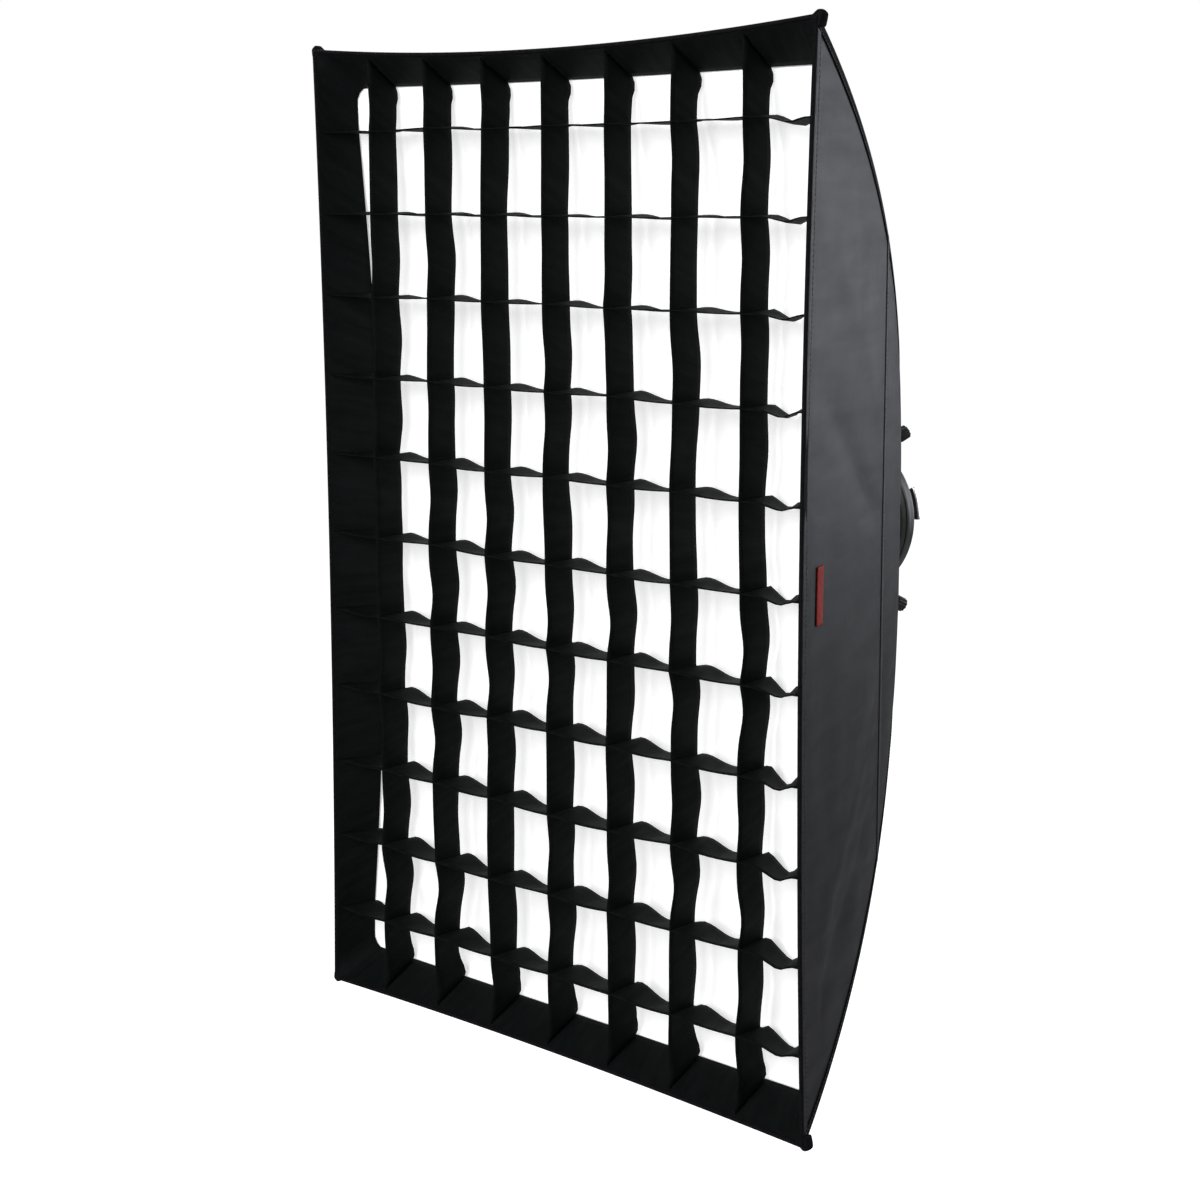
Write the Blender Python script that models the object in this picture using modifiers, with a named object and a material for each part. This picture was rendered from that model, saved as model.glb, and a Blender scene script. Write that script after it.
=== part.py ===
"""Rectangular 60 x 90 cm softbox with a recessed fabric grid.

Frame: metres, +Z up along the long side, the white front faces -Y, and the origin is the centre of
the bayonet plate's rear seat, where the light holds it. "Depth" counts from the front plane towards
the light. "Left" and "right" are as seen from the front, so right is +X.
"""

import math

import bmesh
import bpy
from mathutils import Matrix, Vector

# Driving dimensions: the cloth box
WIDTH = 0.600
HEIGHT = 0.900
FRONT_Y = -0.450
THROAT_WIDTH = 0.1576
THROAT_DEPTH = 0.401
RIDGE_SAGITTA = 0.025
SEAM_DEPTH = 0.240
CLOTH = 0.0010
SEWN_GAP = 0.0004
RIDGE_GAP = 0.0015
FRONT_BOW = 0.010
REAR_BULGE = 0.008

# Front band, diffuser and grid
LIP_FRONT_DEPTH = 0.0015
LIP_REAR_DEPTH = 0.038
LIP_FRONT_INSET = 0.0025
SIDE_INSET = 0.0225
SIDE_INSET_BOW = 0.0135
TOP_INSET = 0.0335
TOP_INSET_BOW = 0.0005
LIP_CORNER_GAP = {"X": 0.0055, "Z": 0.0075}
DIFFUSER_DEPTH = 0.037
DIFFUSER_GAP = 0.0015
CELL = 0.075
COLUMNS = 8
ROWS = 12
STRIP = 0.0008
GRID_FRONT_DEPTH = 0.002
GRID_REAR_DEPTH = 0.034
BAND_OFFSET = 0.0018
STRIP_END_OFFSET = 0.0030
BAND_CORNER_GAP = {"X": 0.004, "Z": 0.006}
SLOT = STRIP + 0.0006

# Inner baffle and its straps
BAFFLE_DEPTH = 0.170
BAFFLE_WIDTH = 0.370
BAFFLE_HEIGHT = 0.570
STRAP_WIDTH = 0.010
STRAP_GAP = 0.0015

# Flaps that close the throat above and below the ring: distance from the axis, and half width
FLAP_OUTER_INSIDE = 0.003
FLAP_INNER_Z = 0.081
FLAP_OUTER_HALF = 0.062
FLAP_INNER_HALF = 0.034
FLAP_OUTER_Y = FRONT_Y + THROAT_DEPTH + 0.002
FLAP_INNER_Y = -0.037

# Rods, corner pockets and label
ROD_RADIUS = 0.0025
ROD_INSIDE_RIDGE = 0.006
ROD_FRONT_DEPTH = 0.004
ROD_END_RADIUS = 0.0795
POCKET_WIDTH = 0.010
POCKET_START = 0.5418
POCKET_LENGTH = 0.006
POCKET_DEPTH = 0.012
LABEL_DEPTH = (0.031, 0.047)
LABEL_Z = (-0.024, 0.024)

# Speed ring, lengths along Y from the seat plane
HUB_RADIUS = 0.058
BORE_RADIUS = 0.0485
SEAT_RADIUS = 0.0645
SEAT_THICKNESS = 0.0095
LUG_RADIUS = 0.0725
LUG_THICKNESS = 0.004
LUG_ANGLE = math.radians(26)
BODY_RADIUS = 0.076
BODY_BORE = 0.0585
BODY_REAR = -0.010
BODY_FRONT = -0.034
RETAINER_RADIUS = 0.068
RETAINER_FRONT = -0.038
HUB_FRONT = -0.0345
FIT = 0.0003
BOSS_RADIUS = 0.008
BOSS_FROM = 0.073
BOSS_TO = 0.102
BOSS_MIDDLE = 0.093
SOCKET_RADIUS = 0.0029
SOCKET_FROM = 0.0785
SCREW_RADIUS = 0.0022
SCREW_HOLE = 0.0025
KNOB_RADIUS = 0.007
KNOB_HEAD = 0.011
KNOB_COLLAR = 0.004
KNOB_COLLAR_LENGTH = 0.0015
KNOB_EDGE = 0.001
BODY_CHAMFER = 0.004
DRILL_PAST = 0.010
ROTATION_LOCK_Y = -0.022
SEGMENTS = 48

DIAGONAL = math.hypot(WIDTH, HEIGHT) / 2
ACROSS = WIDTH / 2 / DIAGONAL
UPRIGHT = HEIGHT / 2 / DIAGONAL
CORNERS = {
    "top_left": (-1, 1),
    "top_right": (1, 1),
    "bottom_left": (-1, -1),
    "bottom_right": (1, -1),
}
# side name: outward direction, direction along the side
SIDES = {
    "top": (Vector((0, 0, 1)), Vector((1, 0, 0))),
    "bottom": (Vector((0, 0, -1)), Vector((1, 0, 0))),
    "left": (Vector((-1, 0, 0)), Vector((0, 0, 1))),
    "right": (Vector((1, 0, 0)), Vector((0, 0, 1))),
}
Y_AXIS = Vector((0, 1, 0))


def clear_scene():
    for obj in list(bpy.data.objects):
        bpy.data.objects.remove(obj)


def collection(name):
    made = bpy.data.collections.new(name)
    bpy.context.scene.collection.children.link(made)
    return made


def material(name, colour, roughness, metallic=0.0):
    made = bpy.data.materials.new(name)
    made.use_nodes = True
    shader = made.node_tree.nodes["Principled BSDF"]
    shader.inputs["Base Color"].default_value = (*colour, 1)
    shader.inputs["Roughness"].default_value = roughness
    shader.inputs["Metallic"].default_value = metallic
    return made


clear_scene()
PARTS = collection("softbox")
CUTTERS = collection("cutters")
BLACK_CLOTH = material("black_cloth", (0.03, 0.03, 0.035), 0.8)
GRID_CLOTH = material("grid_cloth", (0.012, 0.014, 0.015), 0.9)
WHITE_CLOTH = material("white_cloth", (0.85, 0.85, 0.85), 0.8)
RED_CLOTH = material("red_cloth", (0.35, 0.02, 0.02), 0.7)
CAST_METAL = material("cast_metal", (0.03, 0.03, 0.03), 0.45, 0.6)
PLATE_METAL = material("plate_metal", (0.55, 0.55, 0.57), 0.35, 1.0)
ROD_METAL = material("rod_metal", (0.5, 0.5, 0.52), 0.3, 1.0)
KNOB_PLASTIC = material("knob_plastic", (0.015, 0.015, 0.015), 0.5)


def add(name, mesh, finish, where=PARTS):
    obj = bpy.data.objects.new(name, mesh)
    where.objects.link(obj)
    if finish:
        mesh.materials.append(finish)
    return obj


def mesh_from(bm, name):
    mesh = bpy.data.meshes.new(name)
    bm.to_mesh(mesh)
    bm.free()
    return mesh


def hide_as_cutter(obj):
    obj.hide_render = True
    obj.display_type = "WIRE"


# ---- The box's form: one arc for each corner ridge, in the plane of that corner -------------


def ridge_circle():
    """Centre (outward, depth) and radius of the circle that each corner ridge lies on."""
    front = Vector((DIAGONAL, 0))
    rear = Vector((THROAT_WIDTH / 2 / ACROSS, THROAT_DEPTH))
    chord = rear - front
    radius = chord.length**2 / (8 * RIDGE_SAGITTA) + RIDGE_SAGITTA / 2
    outward = Vector((chord.y, -chord.x)).normalized()
    return (front + rear) / 2 + outward * (RIDGE_SAGITTA - radius), radius


RIDGE_CENTRE, RIDGE_RADIUS = ridge_circle()


def outward_at(depth, inside=0.0):
    """Distance from the axis of the arc that lies this far inside the ridge."""
    radius = RIDGE_RADIUS - inside
    return RIDGE_CENTRE.x + math.sqrt(radius**2 - (depth - RIDGE_CENTRE.y) ** 2)


def depth_at(outward, inside=0.0):
    radius = RIDGE_RADIUS - inside
    return RIDGE_CENTRE.y + math.sqrt(radius**2 - (outward - RIDGE_CENTRE.x) ** 2)


def corner_direction(corner):
    x, z = CORNERS[corner]
    return Vector((ACROSS * x, 0, UPRIGHT * z))


def half_size(side, depth):
    """Half the box's size at this depth: outwards to the side, and along it."""
    outward = outward_at(depth)
    if side in ("top", "bottom"):
        return UPRIGHT * outward, ACROSS * outward
    return ACROSS * outward, UPRIGHT * outward


def panel_point(side, along, depth, bow, proud=0.0):
    """A point on a side panel: along is -1 to 1 between its ridges, bow is how far it pulls in."""
    out, line = SIDES[side]
    far, half = half_size(side, depth)
    inward = bow * (1 - along**2)
    return out * (far - inward + proud) + line * (along * (half - RIDGE_GAP)) + Y_AXIS * (FRONT_Y + depth)


def sheet(name, point, columns, rows, finish, thickness=CLOTH):
    """Cloth as a grid that point(u, v) puts in place, u from -1 to 1 and v from 0 to 1."""
    bm = bmesh.new()
    bmesh.ops.create_grid(bm, x_segments=columns, y_segments=rows, size=1)
    for vert in bm.verts:
        vert.co = point(vert.co.x, (vert.co.y + 1) / 2)
    obj = add(name, mesh_from(bm, name), finish)
    wall = obj.modifiers.new("cloth", "SOLIDIFY")
    wall.thickness = thickness
    wall.offset = 0
    return obj


def front_bow(depth):
    return FRONT_BOW * (1 - depth / SEAM_DEPTH)


def make_panels():
    front_end = SEAM_DEPTH - SEWN_GAP
    rear_start = SEAM_DEPTH + SEWN_GAP
    rear_length = THROAT_DEPTH - rear_start
    for side in SIDES:

        def front(u, v):
            depth = front_end * v
            return panel_point(side, u, depth, front_bow(depth))

        def rear(u, v):
            bulge = REAR_BULGE * math.sin(math.pi * v)
            return panel_point(side, u, rear_start + rear_length * v, -bulge)

        sheet(f"front_panel_{side}", front, 8, 4, BLACK_CLOTH)
        sheet(f"rear_panel_{side}", rear, 6, 4, BLACK_CLOTH)


def make_flaps():
    """Small trapezoids that close the throat above and below the ring."""
    outer_z = HEIGHT / WIDTH * THROAT_WIDTH / 2 - FLAP_OUTER_INSIDE
    for side in ("top", "bottom"):
        up = SIDES[side][0].z

        def flap(u, v):
            half = FLAP_OUTER_HALF + (FLAP_INNER_HALF - FLAP_OUTER_HALF) * v
            height = outer_z + (FLAP_INNER_Z - outer_z) * v
            return Vector((u * half, FLAP_OUTER_Y + (FLAP_INNER_Y - FLAP_OUTER_Y) * v, up * height))

        sheet(f"rear_flap_{side}", flap, 2, 1, BLACK_CLOTH)


# ---- Front band, diffuser and grid ----------------------------------------------------------


def lip_inset(side, along, depth):
    """How far the band's surface lies inside the front rectangle, at a point along its side."""
    arch = 1 - along**2
    front = LIP_FRONT_INSET + FRONT_BOW * arch
    if side in ("top", "bottom"):
        rear = TOP_INSET + TOP_INSET_BOW * arch
    else:
        rear = SIDE_INSET + SIDE_INSET_BOW * arch
    share = (depth - LIP_FRONT_DEPTH) / (LIP_REAR_DEPTH - LIP_FRONT_DEPTH)
    return front + (rear - front) * share


def band_point(side, along, depth, extra, corner_gap):
    """A point on the band or on the grid's edge, which lies "extra" further in."""
    out, line = SIDES[side]
    upright = side in ("left", "right")
    far, half = (WIDTH / 2, HEIGHT / 2) if upright else (HEIGHT / 2, WIDTH / 2)
    neighbour = "top" if upright else "right"
    half -= lip_inset(neighbour, 1, depth) + extra + corner_gap["Z" if upright else "X"]
    far -= lip_inset(side, along, depth) + extra
    return out * far + line * (along * half) + Y_AXIS * (FRONT_Y + depth)


def make_bands():
    for side in SIDES:

        def lip(u, v):
            depth = LIP_FRONT_DEPTH + (LIP_REAR_DEPTH - LIP_FRONT_DEPTH) * v
            return band_point(side, u, depth, 0, LIP_CORNER_GAP)

        def band(u, v):
            depth = GRID_FRONT_DEPTH + (GRID_REAR_DEPTH - GRID_FRONT_DEPTH) * v
            return band_point(side, u, depth, BAND_OFFSET, BAND_CORNER_GAP)

        sheet(f"front_lip_{side}", lip, 8, 1, BLACK_CLOTH)
        sheet(f"grid_band_{side}", band, 8, 1, GRID_CLOTH, STRIP)


def make_diffuser():
    def cloth(u, v):
        up = 2 * v - 1
        x_half = WIDTH / 2 - lip_inset("right", up, DIFFUSER_DEPTH) - DIFFUSER_GAP
        z_half = HEIGHT / 2 - lip_inset("top", u, DIFFUSER_DEPTH) - DIFFUSER_GAP
        return Vector((u * x_half, FRONT_Y + DIFFUSER_DEPTH, up * z_half))

    sheet("outer_diffuser", cloth, 8, 12, WHITE_CLOTH, STRIP)


def strip_outline(half_at, crossings, from_front):
    """Outline of a grid strip in (along, depth), with a slot half its depth at each crossing."""
    middle = (GRID_FRONT_DEPTH + GRID_REAR_DEPTH) / 2
    bottom = middle + (FIT if from_front else -FIT)
    edge, other = GRID_FRONT_DEPTH, GRID_REAR_DEPTH
    if not from_front:
        edge, other = other, edge
    points = [(-half_at(edge), edge)]
    for place in crossings:
        left, right = place - SLOT / 2, place + SLOT / 2
        points += [(left, edge), (left, bottom), (right, bottom), (right, edge)]
    return points + [(half_at(edge), edge), (half_at(other), other), (-half_at(other), other)]


def strip(name, outline, place, along, thick):
    """A flat strip from its outline, standing on edge at place."""
    bm = bmesh.new()
    corners = [bm.verts.new(place + along * a - thick * STRIP / 2 + Y_AXIS * (FRONT_Y + d)) for a, d in outline]
    face = bm.faces.new(corners)
    grown = bmesh.ops.extrude_face_region(bm, geom=[face])
    moved = [item for item in grown["geom"] if isinstance(item, bmesh.types.BMVert)]
    bmesh.ops.translate(bm, vec=thick * STRIP, verts=moved)
    bmesh.ops.recalc_face_normals(bm, faces=bm.faces)
    add(name, mesh_from(bm, name), GRID_CLOTH)


def make_grid():
    x_places = [CELL * (i - COLUMNS / 2) for i in range(1, COLUMNS)]
    z_places = [CELL * (i - ROWS / 2) for i in range(1, ROWS)]
    x_axis, z_axis = Vector((1, 0, 0)), Vector((0, 0, 1))
    for number, x in enumerate(x_places, 1):

        def upright_half(depth):
            return HEIGHT / 2 - lip_inset("top", 2 * x / WIDTH, depth) - STRIP_END_OFFSET

        outline = strip_outline(upright_half, z_places, from_front=False)
        strip(f"grid_upright_{number}", outline, x_axis * x, z_axis, x_axis)
    for number, z in enumerate(z_places, 1):

        def rail_half(depth):
            return WIDTH / 2 - lip_inset("right", 2 * z / HEIGHT, depth) - STRIP_END_OFFSET

        outline = strip_outline(rail_half, x_places, from_front=True)
        strip(f"grid_rail_{number:02d}", outline, z_axis * z, x_axis, z_axis)


# ---- Baffle, rods, pockets, label -----------------------------------------------------------


def make_baffle():
    y = FRONT_Y + BAFFLE_DEPTH

    def cloth(u, v):
        return Vector((u * BAFFLE_WIDTH / 2, y, (v - 0.5) * BAFFLE_HEIGHT))

    sheet("inner_baffle", cloth, 2, 2, WHITE_CLOTH)
    for corner, (x, z) in CORNERS.items():
        start = Vector((x * BAFFLE_WIDTH / 2, y, z * BAFFLE_HEIGHT / 2))
        end = corner_direction(corner) * outward_at(BAFFLE_DEPTH, ROD_INSIDE_RIDGE) + Y_AXIS * y
        line = (end - start).normalized()
        start += line * STRAP_GAP * 3
        end -= line * (ROD_RADIUS + STRAP_GAP)
        wide = line.cross(Y_AXIS) * STRAP_WIDTH / 2

        def strap(u, v):
            return start.lerp(end, v) + wide * u

        sheet(f"baffle_strap_{corner}", strap, 1, 1, BLACK_CLOTH)


def rod_curve(name, corner):
    out = corner_direction(corner)
    depth_end = depth_at(ROD_END_RADIUS, ROD_INSIDE_RIDGE)
    points = 13
    curve = bpy.data.curves.new(name, "CURVE")
    curve.dimensions = "3D"
    curve.bevel_depth = ROD_RADIUS
    curve.bevel_resolution = 2
    curve.use_fill_caps = True
    spline = curve.splines.new("POLY")
    spline.points.add(points - 1)
    for number, point in enumerate(spline.points):
        depth = ROD_FRONT_DEPTH + (depth_end - ROD_FRONT_DEPTH) * number / (points - 1)
        place = out * outward_at(depth, ROD_INSIDE_RIDGE) + Y_AXIS * (FRONT_Y + depth)
        point.co = (*place, 1)
    add(name, curve, ROD_METAL)


def make_pocket(name, corner):
    """The stitched pocket at a corner: a small tapered block just outside the rod's end."""
    out = corner_direction(corner)
    turn = math.atan2(out.x, out.z)
    bm = bmesh.new()
    bmesh.ops.create_cube(bm, size=1)
    bmesh.ops.scale(bm, vec=(POCKET_WIDTH, POCKET_DEPTH, POCKET_LENGTH), verts=bm.verts)
    for vert in bm.verts:
        if vert.co.z > 0:
            vert.co.x *= 0.7
            vert.co.y *= 0.7
    bmesh.ops.bevel(
        bm,
        geom=bm.edges[:],
        offset=0.0015,
        offset_type="OFFSET",
        segments=1,
        profile=0.5,
        affect="EDGES",
        material=-1,
    )
    obj = add(name, mesh_from(bm, name), BLACK_CLOTH)
    obj.location = out * (POCKET_START + POCKET_LENGTH / 2) + Y_AXIS * (FRONT_Y + POCKET_DEPTH / 2)
    obj.rotation_euler = (0, turn, 0)


def make_label():
    proud = CLOTH + FIT * 2

    def tag(u, v):
        depth = LABEL_DEPTH[0] + (LABEL_DEPTH[1] - LABEL_DEPTH[0]) * (u + 1) / 2
        z = LABEL_Z[0] + (LABEL_Z[1] - LABEL_Z[0]) * v
        return panel_point("right", 2 * z / HEIGHT, depth, front_bow(depth), proud)

    sheet("label", tag, 1, 2, RED_CLOTH, STRIP)


# ---- Speed ring -----------------------------------------------------------------------------


def turned(name, profile, finish, where=PARTS, segments=SEGMENTS):
    """A body turned about its local Z from a closed (radius, z) profile at +X, top to bottom."""
    bm = bmesh.new()
    verts = [bm.verts.new((radius, 0, z)) for radius, z in profile]
    for start, end in zip(verts, verts[1:] + verts[:1]):
        if start.co.x > 0 or end.co.x > 0:
            bm.edges.new((start, end))
    obj = add(name, mesh_from(bm, name), finish, where)
    screw = obj.modifiers.new("turn", "SCREW")
    screw.axis = "Z"
    screw.angle = 2 * math.pi
    screw.steps = segments
    screw.render_steps = segments
    screw.use_merge_vertices = True
    screw.merge_threshold = 0.00001
    screw.use_normal_calculate = False
    return obj


def about_y(obj):
    """Turns a body made about Z so that its +Z is +Y."""
    obj.rotation_euler = (-math.pi / 2, 0, 0)
    return obj


def combine(obj, other, operation):
    step = obj.modifiers.new(other.name, "BOOLEAN")
    step.operation = operation
    step.solver = "EXACT"
    step.object = other
    hide_as_cutter(other)


def cylinder(name, start, end, radius, segments=20):
    """A helper cylinder between two points."""
    line = end - start
    bm = bmesh.new()
    bmesh.ops.create_cone(
        bm,
        cap_ends=True,
        segments=segments,
        radius1=radius,
        radius2=radius,
        depth=line.length,
    )
    obj = add(name, mesh_from(bm, name), None, CUTTERS)
    turn = Vector((0, 0, 1)).rotation_difference(line.normalized())
    obj.matrix_world = Matrix.Translation((start + end) / 2) @ turn.to_matrix().to_4x4()
    return obj


def lug(name, angle):
    """One bayonet lug: a rectangle spun through a short arc."""
    overlap = 0.0015
    inner, outer = SEAT_RADIUS - overlap, LUG_RADIUS
    low = -LUG_THICKNESS
    bm = bmesh.new()
    corners = [bm.verts.new((r, 0, z)) for r, z in ((inner, low), (outer, low), (outer, 0), (inner, 0))]
    face = bm.faces.new(corners)
    bmesh.ops.spin(
        bm,
        geom=[face, *face.edges, *face.verts],
        cent=(0, 0, 0),
        axis=(0, 0, 1),
        angle=LUG_ANGLE,
        steps=5,
    )
    bmesh.ops.recalc_face_normals(bm, faces=bm.faces)
    bmesh.ops.rotate(bm, matrix=Matrix.Rotation(angle, 3, "Z"), verts=bm.verts)
    return about_y(add(name, mesh_from(bm, name), None, CUTTERS))


def make_bayonet_plate():
    seat_face = -SEAT_THICKNESS
    plate = about_y(
        turned(
            "bayonet_plate",
            [
                (SEAT_RADIUS, 0),
                (SEAT_RADIUS, seat_face),
                (HUB_RADIUS, seat_face),
                (HUB_RADIUS, HUB_FRONT),
                (BORE_RADIUS, HUB_FRONT),
                (BORE_RADIUS, 0),
            ],
            PLATE_METAL,
        )
    )
    for number in range(3):
        combine(plate, lug(f"lug_{number}", 2 * math.pi * number / 3), "UNION")
    front = HUB_FRONT - FIT
    about_y(
        turned(
            "retaining_ring",
            [
                (RETAINER_RADIUS, front),
                (RETAINER_RADIUS, RETAINER_FRONT),
                (BORE_RADIUS, RETAINER_FRONT),
                (BORE_RADIUS, front),
            ],
            PLATE_METAL,
        )
    )


def socket_frame(corner):
    """Centre of a rod socket, the rod's direction out of it, and the lock screw's direction."""
    out = corner_direction(corner)
    radius = RIDGE_RADIUS - ROD_INSIDE_RIDGE
    depth = depth_at(BOSS_MIDDLE, ROD_INSIDE_RIDGE)
    back = (BOSS_MIDDLE - RIDGE_CENTRE.x) / radius
    side = (depth - RIDGE_CENTRE.y) / radius
    centre = out * BOSS_MIDDLE + Y_AXIS * (FRONT_Y + depth)
    return centre, out * side - Y_AXIS * back, out * back + Y_AXIS * side


def along_socket(outward):
    """Distance along the socket from its centre to a point this far from the axis."""
    side = (depth_at(BOSS_MIDDLE, ROD_INSIDE_RIDGE) - RIDGE_CENTRE.y) / (RIDGE_RADIUS - ROD_INSIDE_RIDGE)
    return (outward - BOSS_MIDDLE) / side


def make_speedring():
    body = about_y(
        turned(
            "speedring_body",
            [
                (BODY_RADIUS - BODY_CHAMFER, BODY_REAR),
                (BODY_RADIUS, BODY_REAR - BODY_CHAMFER),
                (BODY_RADIUS, BODY_FRONT),
                (BODY_BORE, BODY_FRONT),
                (BODY_BORE, BODY_REAR),
            ],
            CAST_METAL,
        )
    )
    for corner in CORNERS:
        centre, outwards, screw = socket_frame(corner)
        inner, outer = centre + outwards * along_socket(BOSS_FROM), centre + outwards * along_socket(BOSS_TO)
        combine(body, cylinder(f"boss_{corner}", inner, outer, BOSS_RADIUS), "UNION")
        drilled = centre + outwards * along_socket(SOCKET_FROM)
        past_boss = outer + outwards * DRILL_PAST
        combine(body, cylinder(f"socket_{corner}", drilled, past_boss, SOCKET_RADIUS, 16), "DIFFERENCE")
        through = centre + screw * (BOSS_RADIUS + DRILL_PAST)
        combine(body, cylinder(f"screw_hole_{corner}", centre, through, SCREW_HOLE, 12), "DIFFERENCE")
    place = Y_AXIS * ROTATION_LOCK_Y
    down = Vector((0, 0, -1))
    hole = cylinder(
        "rotation_hole",
        place + down * (BODY_BORE - DRILL_PAST / 2),
        place + down * (BODY_RADIUS + DRILL_PAST / 2),
        SCREW_HOLE,
        12,
    )
    combine(body, hole, "DIFFERENCE")


def make_knob(name, tip, direction, screw_length):
    """A thumb screw: screw, collar and head turned about its axis, from the screw's tip outwards."""
    collar = screw_length + KNOB_COLLAR_LENGTH
    top = collar + KNOB_HEAD
    edge = KNOB_EDGE
    profile = [
        (0, top),
        (KNOB_RADIUS - edge, top),
        (KNOB_RADIUS, top - edge),
        (KNOB_RADIUS, collar + edge),
        (KNOB_RADIUS - edge, collar),
        (KNOB_COLLAR, collar),
        (KNOB_COLLAR, screw_length),
        (SCREW_RADIUS, screw_length),
        (SCREW_RADIUS, 0),
        (0, 0),
    ]
    knob = turned(name, profile, KNOB_PLASTIC, segments=20)
    turn = Vector((0, 0, 1)).rotation_difference(direction)
    knob.matrix_world = Matrix.Translation(tip) @ turn.to_matrix().to_4x4()


def make_knobs():
    rod_side = ROD_RADIUS + 2 * FIT
    for corner in CORNERS:
        centre, _, screw = socket_frame(corner)
        length = BOSS_RADIUS + 2 * FIT - rod_side
        make_knob(f"rod_lock_knob_{corner}", centre + screw * rod_side, screw, length)
    inner = HUB_RADIUS + 0.0012
    tip = Vector((0, ROTATION_LOCK_Y, -inner))
    make_knob("rotation_lock_knob", tip, Vector((0, 0, -1)), BODY_RADIUS + 2 * FIT - inner)


def smooth_round_pieces():
    for name in ("bayonet_plate", "retaining_ring", "speedring_body", "rotation_lock_knob"):
        bpy.data.objects[name].data.shade_smooth()
    for corner in CORNERS:
        bpy.data.objects[f"rod_lock_knob_{corner}"].data.shade_smooth()


make_bayonet_plate()
make_speedring()
make_knobs()
for corner_name in CORNERS:
    rod_curve(f"rod_{corner_name}", corner_name)
    make_pocket(f"corner_pocket_{corner_name}", corner_name)
make_panels()
make_flaps()
make_bands()
make_diffuser()
make_grid()
make_baffle()
make_label()
smooth_round_pieces()
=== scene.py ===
# %% [markdown]
# # A 60 x 90 cm softbox with a fabric grid
#
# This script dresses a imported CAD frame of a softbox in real-looking cloth and metal. A softbox is
# a tent: four spring rods push out of a metal ring, a black cloth box is stretched over them, a
# white cloth closes its front, and a black cloth grid of square cells stands in front of the white.
# Each cell below first says what a piece is on the real object and how it could be made.

# %% Load the frame
import math
import random

import bmesh
import bpy
from mathutils import Matrix, Vector, noise


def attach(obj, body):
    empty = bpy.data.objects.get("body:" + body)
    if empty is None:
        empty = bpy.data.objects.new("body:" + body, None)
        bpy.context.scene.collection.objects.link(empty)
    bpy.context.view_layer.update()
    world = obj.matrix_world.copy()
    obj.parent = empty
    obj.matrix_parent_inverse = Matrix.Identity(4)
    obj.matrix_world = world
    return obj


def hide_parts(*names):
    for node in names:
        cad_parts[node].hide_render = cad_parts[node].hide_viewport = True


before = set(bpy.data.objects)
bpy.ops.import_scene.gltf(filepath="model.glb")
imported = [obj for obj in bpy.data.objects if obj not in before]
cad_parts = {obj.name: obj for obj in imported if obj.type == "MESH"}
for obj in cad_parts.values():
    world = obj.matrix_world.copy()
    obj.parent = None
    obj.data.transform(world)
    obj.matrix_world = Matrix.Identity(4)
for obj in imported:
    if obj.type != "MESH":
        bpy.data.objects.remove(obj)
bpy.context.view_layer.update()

# %% [markdown]
# ## The form of the box
#
# The front is a 600 x 900 mm rectangle, and every section behind it keeps that 2:3 shape. So one
# curve is enough for the whole box: the corner ridge, a single arc that a bent rod makes. The arc is
# worked out from its two ends and its sagitta, which is how far it stands off the straight line.
# All the cloth pieces ask this arc where they are, so their edges meet without any fitting.

# %% The corner ridge as one arc
WIDTH, HEIGHT = 0.600, 0.900
FRONT_Y = -0.450
THROAT_HALF_WIDTH, THROAT_DEPTH = 0.0788, 0.401
RIDGE_SAGITTA = 0.025
SEAM_DEPTH = 0.240
DIAGONAL = math.hypot(WIDTH, HEIGHT) / 2
ACROSS, UPRIGHT = WIDTH / 2 / DIAGONAL, HEIGHT / 2 / DIAGONAL
Y_AXIS = Vector((0, 1, 0))

front_end = Vector((DIAGONAL, 0))
throat_end = Vector((THROAT_HALF_WIDTH / ACROSS, THROAT_DEPTH))
chord = throat_end - front_end
RIDGE_RADIUS = chord.length**2 / (8 * RIDGE_SAGITTA) + RIDGE_SAGITTA / 2
chord_normal = Vector((chord.y, -chord.x)).normalized()
RIDGE_CENTRE = (front_end + throat_end) / 2 + chord_normal * (RIDGE_SAGITTA - RIDGE_RADIUS)


def outward_at(depth, inside=0.0):
    """Distance from the axis to the ridge, or to the arc that lies this far inside it."""
    return RIDGE_CENTRE.x + math.sqrt((RIDGE_RADIUS - inside) ** 2 - (depth - RIDGE_CENTRE.y) ** 2)


print(f"ridge radius {RIDGE_RADIUS:.3f} m, throat {outward_at(THROAT_DEPTH):.4f} m from the axis")

# %% Names of the sides and corners
SIDES = {
    "top": (Vector((0, 0, 1)), Vector((1, 0, 0))),
    "bottom": (Vector((0, 0, -1)), Vector((1, 0, 0))),
    "left": (Vector((-1, 0, 0)), Vector((0, 0, 1))),
    "right": (Vector((1, 0, 0)), Vector((0, 0, 1))),
}
CORNERS = {"top_left": (-1, 1), "top_right": (1, 1), "bottom_left": (-1, -1), "bottom_right": (1, -1)}


def half_size(side, depth):
    """Half the box's section at a depth: outwards to this side, and along it."""
    outward = outward_at(depth)
    if side in ("top", "bottom"):
        return UPRIGHT * outward, ACROSS * outward
    return ACROSS * outward, UPRIGHT * outward


def corner_direction(corner):
    x, z = CORNERS[corner]
    return Vector((ACROSS * x, 0, UPRIGHT * z))


# %% [markdown]
# ## Camera, floor and light
#
# The camera stands to the right of the box, a little above its middle, with a short telephoto lens,
# as in a catalogue picture. Its place is counted from the centre of the front face. The floor is a
# large flat sheet, and the world behind it looks just as bright, so no horizon line shows.

# %% Camera
FRONT_CENTRE = Vector((0, FRONT_Y, 0))
CAMERA_FROM_FRONT = Vector((1.43097, -1.39041, 0.31826))
CAMERA_AZIMUTH = math.radians(44.3795)
CAMERA_ELEVATION = math.radians(9.9622)
CAMERA_ROLL = math.radians(-0.1878)
CAMERA_LENS = 69.4744


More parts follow.
